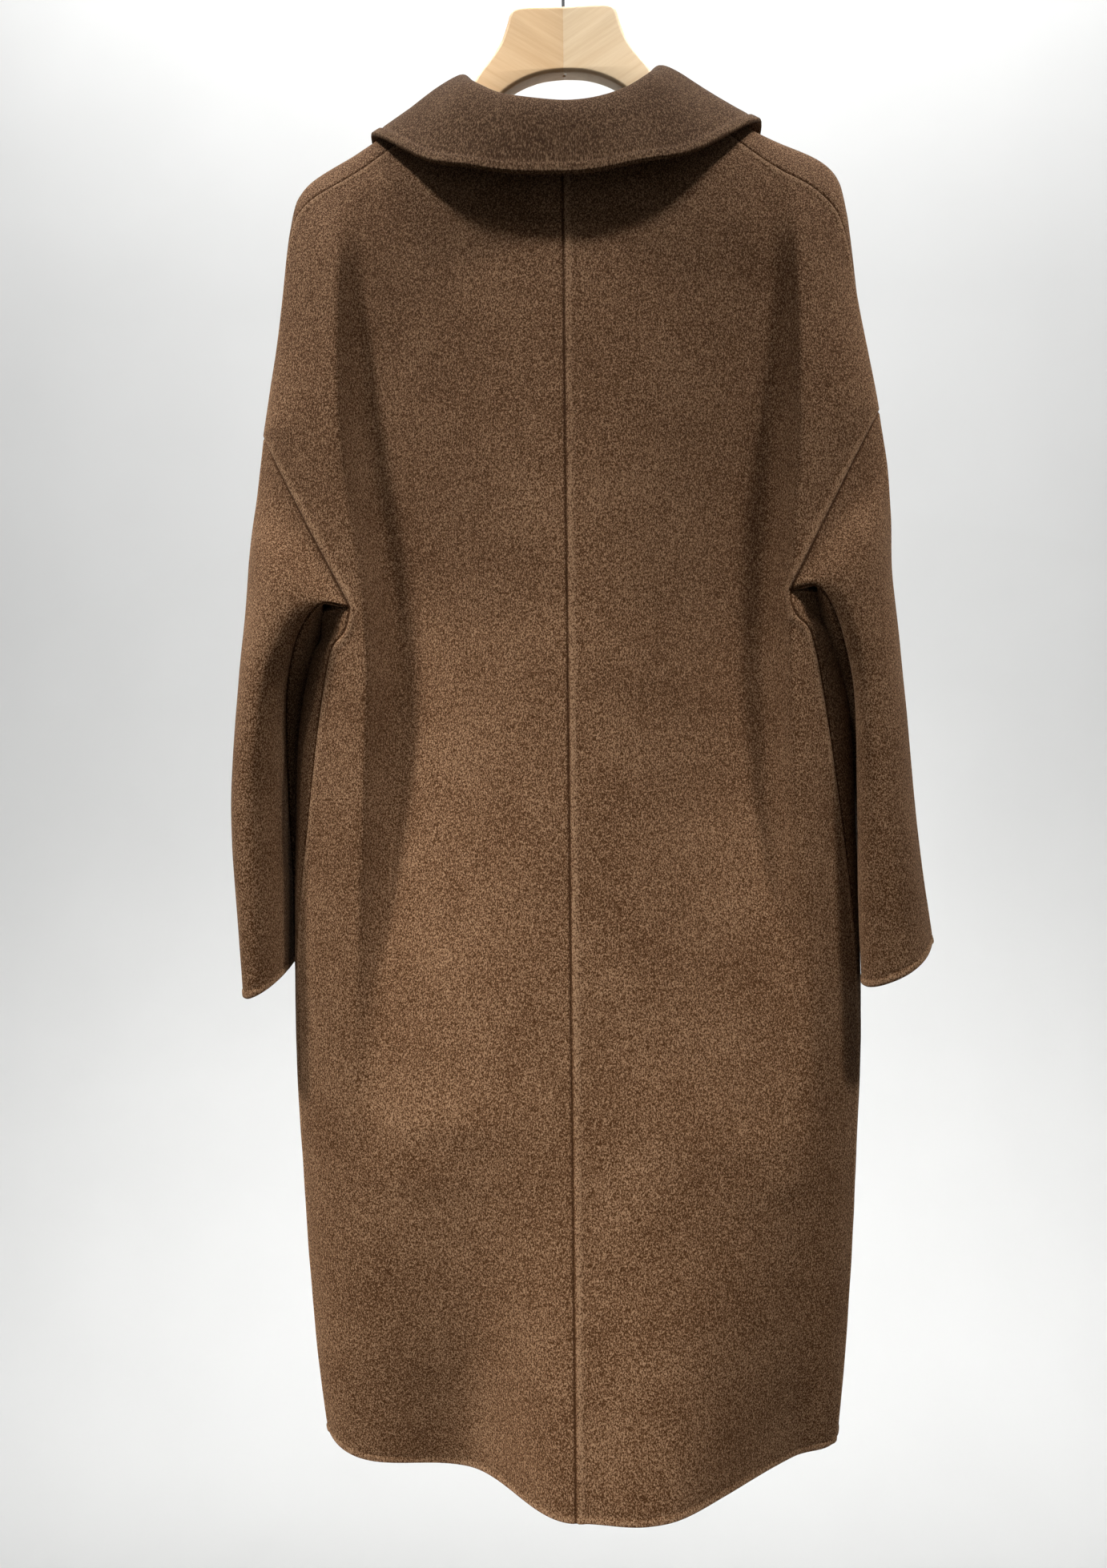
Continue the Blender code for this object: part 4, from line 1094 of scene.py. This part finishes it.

# %% [markdown]
# ## Melange wool
# The cloth is spun from fibres dyed light tan and dark brown, then brushed down, so it is full of short
# vertical flecks a millimetre or two long. Two noises stretched along the height give the flecks and the
# fine fibres, and a wide one lets the tone drift. The rubbed bands are a little lighter, and the grooves of
# the seams are painted darker, as painted shade. The collar's copy of the wool is set darker all over, as
# painted shade, because the collar faces up into the lamps. The same noises raise the nap.

# %% Wool
WOOL = {
    "wool": {
        "dark": (0.048, 0.019, 0.006), "mid": (0.128, 0.064, 0.029), "light": (0.300, 0.182, 0.104),
        "nap": 0.65,
    },
    # painted shade: the collar is the body's wool, set darker because it faces up into the lamps
    "collar_wool": {
        "dark": (0.036, 0.015, 0.005), "mid": (0.075, 0.037, 0.016), "light": (0.190, 0.115, 0.064),
        "nap": 0.20,
    },
}
WOOL_STOPS = (0.455, 0.53, 0.62)  # tones where the dark, the mid and the light fibre show
FLECK_SHARE, FIBRE_SHARE, DRIFT_SHARE, WEAR_AND_GROOVE_SHADE_SHARE = 0.66, 0.31, 0.07, 0.05
FLECK_HEIGHT, FIBRE_HEIGHT = 0.6, 0.5


def wool_finish(name, dark, mid, light, nap):
    made, start, shader = finish_called(name)
    coords = start.node("ShaderNodeTexCoord", out="Object")
    brushed = start.node("ShaderNodeVectorMath", {"operation": "MULTIPLY"}, {0: coords, 1: (1.0, 1.0, nap)})
    flecks = start.node(
        "ShaderNodeTexNoise", None, {"Vector": brushed, "Scale": 1050.0, "Detail": 2.0, "Roughness": 0.6}
    )
    fibres = start.node("ShaderNodeTexNoise", None, {"Vector": brushed, "Scale": 1900.0, "Detail": 1.0})
    drift = start.node("ShaderNodeTexNoise", None, {"Vector": coords, "Scale": 18.0, "Detail": 1.0})
    # the attribute: rubbed wear, lighter, and painted shade in the seam grooves, darker
    rubbed = start.node("ShaderNodeAttribute", {"attribute_name": "rubbed"}, out="Fac")
    tone = flecks * FLECK_SHARE + fibres * FIBRE_SHARE + drift * DRIFT_SHARE + rubbed * WEAR_AND_GROOVE_SHADE_SHARE
    stops = [(stop, (*shade, 1.0)) for stop, shade in zip(WOOL_STOPS, (dark, mid, light))]
    colour = tone.node("ShaderNodeValToRGB", {"stops": stops}, {"Fac": tone}, out="Color")
    height = flecks * FLECK_HEIGHT + fibres * FIBRE_HEIGHT
    nap_bump = start.node("ShaderNodeBump", None, {"Strength": 0.55, "Distance": 0.0009, "Height": height})
    made.node_tree.links.new(colour.socket, shader.inputs["Base Color"])
    made.node_tree.links.new(nap_bump.socket, shader.inputs["Normal"])
    fixed(shader, {"Roughness": 0.95, "Diffuse Roughness": 0.8, "Specular IOR Level": 0.08})
    fixed(shader, {"Sheen Weight": 0.03, "Sheen Roughness": 0.45, "Sheen Tint": (0.70, 0.50, 0.34, 1.0)})
    return made


wool = {slot: wool_finish(slot + "_melange", **values) for slot, values in WOOL.items()}
for name, piece in cloth.items():
    piece.data.materials.append(wool["collar_wool" if name == "collar" else "wool"])
print("wool on", len(cloth), "pieces")

# %% [markdown]
# ## Beech and steel
# The grain of each half slants down towards its arm, so the two meet in a chevron at the joint. Taking
# the distance from the middle makes both slants at once. The wire is bright steel with faint drawing
# marks.

# %% Beech and steel
GRAIN_SLANT = math.radians(32)
BEECH_TONES = {
    "left": ((0.74, 0.47, 0.24), (0.86, 0.60, 0.34)),
    "right": ((0.80, 0.57, 0.33), (0.93, 0.72, 0.47)),
}


def beech_finish(name, dark, light):
    made, start, shader = finish_called(name)
    coords = start.node("ShaderNodeTexCoord", out="Object")
    from_middle = start.node("ShaderNodeVectorMath", {"operation": "ABSOLUTE"}, {0: coords})
    along = start.node(
        "ShaderNodeMapping", {"vector_type": "TEXTURE"},
        {"Vector": from_middle, "Rotation": (0.0, GRAIN_SLANT, 0.0), "Scale": (0.10, 0.004, 0.004)},
    )
    grain = start.node(
        "ShaderNodeTexNoise", None, {"Vector": along, "Scale": 1.0, "Detail": 4.0, "Roughness": 0.6}
    )
    rays = start.node("ShaderNodeTexNoise", None, {"Vector": along, "Scale": 9.0, "Detail": 1.0})
    tone = grain * 0.8 + rays * 0.2
    spread = tone.node("ShaderNodeMapRange", None, {"Value": tone, "From Min": 0.3, "From Max": 0.7})
    colour = mixed(spread, (*dark, 1.0), (*light, 1.0))
    pores = start.node("ShaderNodeBump", None, {"Strength": 0.12, "Distance": 0.0004, "Height": tone})
    made.node_tree.links.new(colour.socket, shader.inputs["Base Color"])
    made.node_tree.links.new((0.36 + 0.16 * grain).socket, shader.inputs["Roughness"])
    made.node_tree.links.new(pores.socket, shader.inputs["Normal"])
    fixed(shader, {"Specular IOR Level": 0.4})
    return made


def steel_finish():
    made, start, shader = finish_called("drawn_steel")
    coords = start.node("ShaderNodeTexCoord", out="Object")
    marks = start.node("ShaderNodeTexNoise", None, {"Vector": coords, "Scale": 900.0, "Detail": 2.0})
    made.node_tree.links.new((0.12 + 0.16 * marks).socket, shader.inputs["Roughness"])
    fixed(shader, {"Base Color": (0.62, 0.62, 0.61, 1.0), "Metallic": 1.0})
    return made


for word, piece in wood.items():
    piece.data.materials.clear()
    piece.data.materials.append(beech_finish("beech_" + word, *BEECH_TONES[word]))
steel = steel_finish()
hook.data.materials.clear()
for piece in (hook, pin):
    piece.data.materials.append(steel)
print("hanger finished")

# %% [markdown]
# ## Floor and backdrop
# A plain sweep stands far enough behind the coat to leave room for a camera on its other side. Its wall
# is pale, and its floor is a little greyer, because the lamps that rake down the coat would otherwise
# leave glaring pools on it.

# %% Stage
FLOOR_Z = -2.60
WALL_Y = 2.7
SWEEP_RADIUS = 1.0
STAGE_HALF = 16.0
STAGE_FRONT = -16.0
FLOOR_GREY = (0.50, 0.50, 0.495, 1.0)
PLASTER = ((0.74, 0.74, 0.73, 1.0), (0.79, 0.79, 0.78, 1.0))
PLASTER_FROM = 0.4  # the floor turns into plaster between these distances behind the coat
PLASTER_FULL = 2.0
WALL_TOP = 4.0


def stage_finish():
    made, start, shader = finish_called("pale_plaster")
    coords = start.node("ShaderNodeTexCoord", out="Object")
    mottle = start.node("ShaderNodeTexNoise", None, {"Vector": coords, "Scale": 3.0, "Detail": 3.0})
    plaster = mixed(mottle, *PLASTER)
    depth = start.node("ShaderNodeSeparateXYZ", None, {"Vector": coords}, out="Y")
    span = {"Value": depth, "From Min": PLASTER_FROM, "From Max": PLASTER_FULL}
    wall = start.node("ShaderNodeMapRange", None, span)
    colour = mixed(wall, FLOOR_GREY, plaster)
    made.node_tree.links.new(colour.socket, shader.inputs["Base Color"])
    fixed(shader, {"Roughness": 0.9})
    return made


bow = [
    (WALL_Y - SWEEP_RADIUS + SWEEP_RADIUS * math.sin(a), FLOOR_Z + SWEEP_RADIUS * (1 - math.cos(a)))
    for a in np.linspace(0.0, math.pi / 2, 24)
]
profile = [(STAGE_FRONT, FLOOR_Z)] + bow + [(WALL_Y, WALL_TOP)]
bm = bmesh.new()
lines = [[bm.verts.new((x, y, z)) for y, z in profile] for x in (-STAGE_HALF, STAGE_HALF)]
for i in range(len(profile) - 1):
    bm.faces.new((lines[0][i], lines[1][i], lines[1][i + 1], lines[0][i + 1]))
mesh = bpy.data.meshes.new("stage_sweep")
bm.to_mesh(mesh)
bm.free()
mesh.shade_smooth()
mesh.materials.append(stage_finish())
sweep = placed("stage_sweep", mesh)
print("floor", FLOOR_Z, "m, wall", WALL_Y, "m behind")

# %% [markdown]
# ## Light
# The folds show because light comes steeply from both sides: each ridge is bright and the valley beside
# it is dark. One large soft lamp would flatten them, so a spot on each side rakes down the back. Three
# more spots lift the lower half, the hem, and the hanger with its collar. Wide lamps keep the wall pale
# and the front readable, and a weak surround fills the shadows. The Standard view shows the colours as
# they are set.

# %% Lights
SPOTS = (  # name, place, aim, cone in degrees, power
    ("spot_left", (-1.60, -0.94, 2.40), (-0.26, 0.0, -0.36), 10.8, 2400.0),
    ("spot_right", (1.54, -0.92, 2.40), (0.24, 0.0, -0.36), 11.5, 1350.0),
    ("spot_low", (-1.00, -1.50, 1.80), (0.09, 0.0, -1.26), 13, 455.0),
    ("spot_hem", (-0.50, -2.60, -1.60), (-0.14, 0.0, -1.22), 15, 260.0),
    ("spot_top", (0.95, -1.20, 3.20), (0.07, 0.0, 0.02), 7.8, 1250.0),
)
SPOT_RADIUS = 0.30
SOFT_LIGHTS = (  # name, place, aim, width, height, power
    ("front_soft", (0.0, 1.60, 1.50), (0.0, 0.0, -0.6), 1.6, 0.8, 24.0),
    ("wall_high", (0.0, 1.00, 2.80), (0.0, 2.7, -0.6), 4.0, 0.6, 128.0),
    ("wall_low", (0.0, 1.40, -2.15), (0.0, 2.7, -0.5), 4.0, 0.3, 34.0),
)
SURROUND = (0.90, 0.93, 0.96, 1.0)
SURROUND_STRENGTH = 0.18


def hung_lamp(name, kind, spot, aim, power):
    """A lamp at a place, turned to its aim."""
    lamp = bpy.data.lights.new(name, kind)
    lamp.energy = power
    holder = placed(name, lamp)
    holder.location = spot
    holder.rotation_euler = (Vector(aim) - Vector(spot)).to_track_quat("-Z", "Y").to_euler()
    return lamp


for name, spot, aim, cone, power in SPOTS:
    lamp = hung_lamp(name, "SPOT", spot, aim, power)
    lamp.spot_size = math.radians(cone)
    lamp.spot_blend = 1.0
    lamp.shadow_soft_size = SPOT_RADIUS
for name, spot, aim, wide, high, power in SOFT_LIGHTS:
    lamp = hung_lamp(name, "AREA", spot, aim, power)
    lamp.shape = "RECTANGLE"
    lamp.size = wide
    lamp.size_y = high
world = bpy.data.worlds.new("pale_surround")
world.use_nodes = True
world.node_tree.nodes["Background"].inputs["Color"].default_value = SURROUND
world.node_tree.nodes["Background"].inputs["Strength"].default_value = SURROUND_STRENGTH
bpy.context.scene.world = world
bpy.context.scene.view_settings.view_transform = "Standard"
print("lights:", len(SPOTS) + len(SOFT_LIGHTS))

# %% [markdown]
# ## What each piece is
# Every piece rides on the one body. All but the pin stand for a CAD node. Each piece of cloth has the
# size it was cut to listed, and its measures and area are printed.

CUTS = {  # flat width and length of each cut, in metres
    "back": (0.29, 1.10), "front": (0.36, 1.12), "sleeve_back": (0.175, 0.44), "sleeve_front": (0.25, 0.44),
    "collar": (0.86, 0.155),
}


def flat_area(name):
    rows = grids[name][0]
    a = np.linalg.norm(np.cross(rows[1:, :-1] - rows[:-1, :-1], rows[:-1, 1:] - rows[:-1, :-1]), axis=2) / 2
    b = np.linalg.norm(np.cross(rows[1:, :-1] - rows[1:, 1:], rows[:-1, 1:] - rows[1:, 1:]), axis=2) / 2
    return float(a.sum() + b.sum())


for name, piece in cloth.items():
    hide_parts(name)
    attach(piece, "root")
    "collar_wool" if name == "collar" else "wool"
    width, length = CUTS["_".join(word for word in name.split("_") if word not in SIDES)]
    rows = grids[name][0]
    across = max(arc_lengths(row)[-1] for row in rows)
    down = max(arc_lengths(rows[:, k])[-1] for k in range(rows.shape[1]))
    area = flat_area(name)
    print(name, "measures", round(across, 3), "x", round(down, 3), "m, area", round(area, 4))
for word, piece in wood.items():
    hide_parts("hanger_" + word)
    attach(piece, "root")
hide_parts("hanger_hook")
for piece in (hook, pin):
    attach(piece, "root")
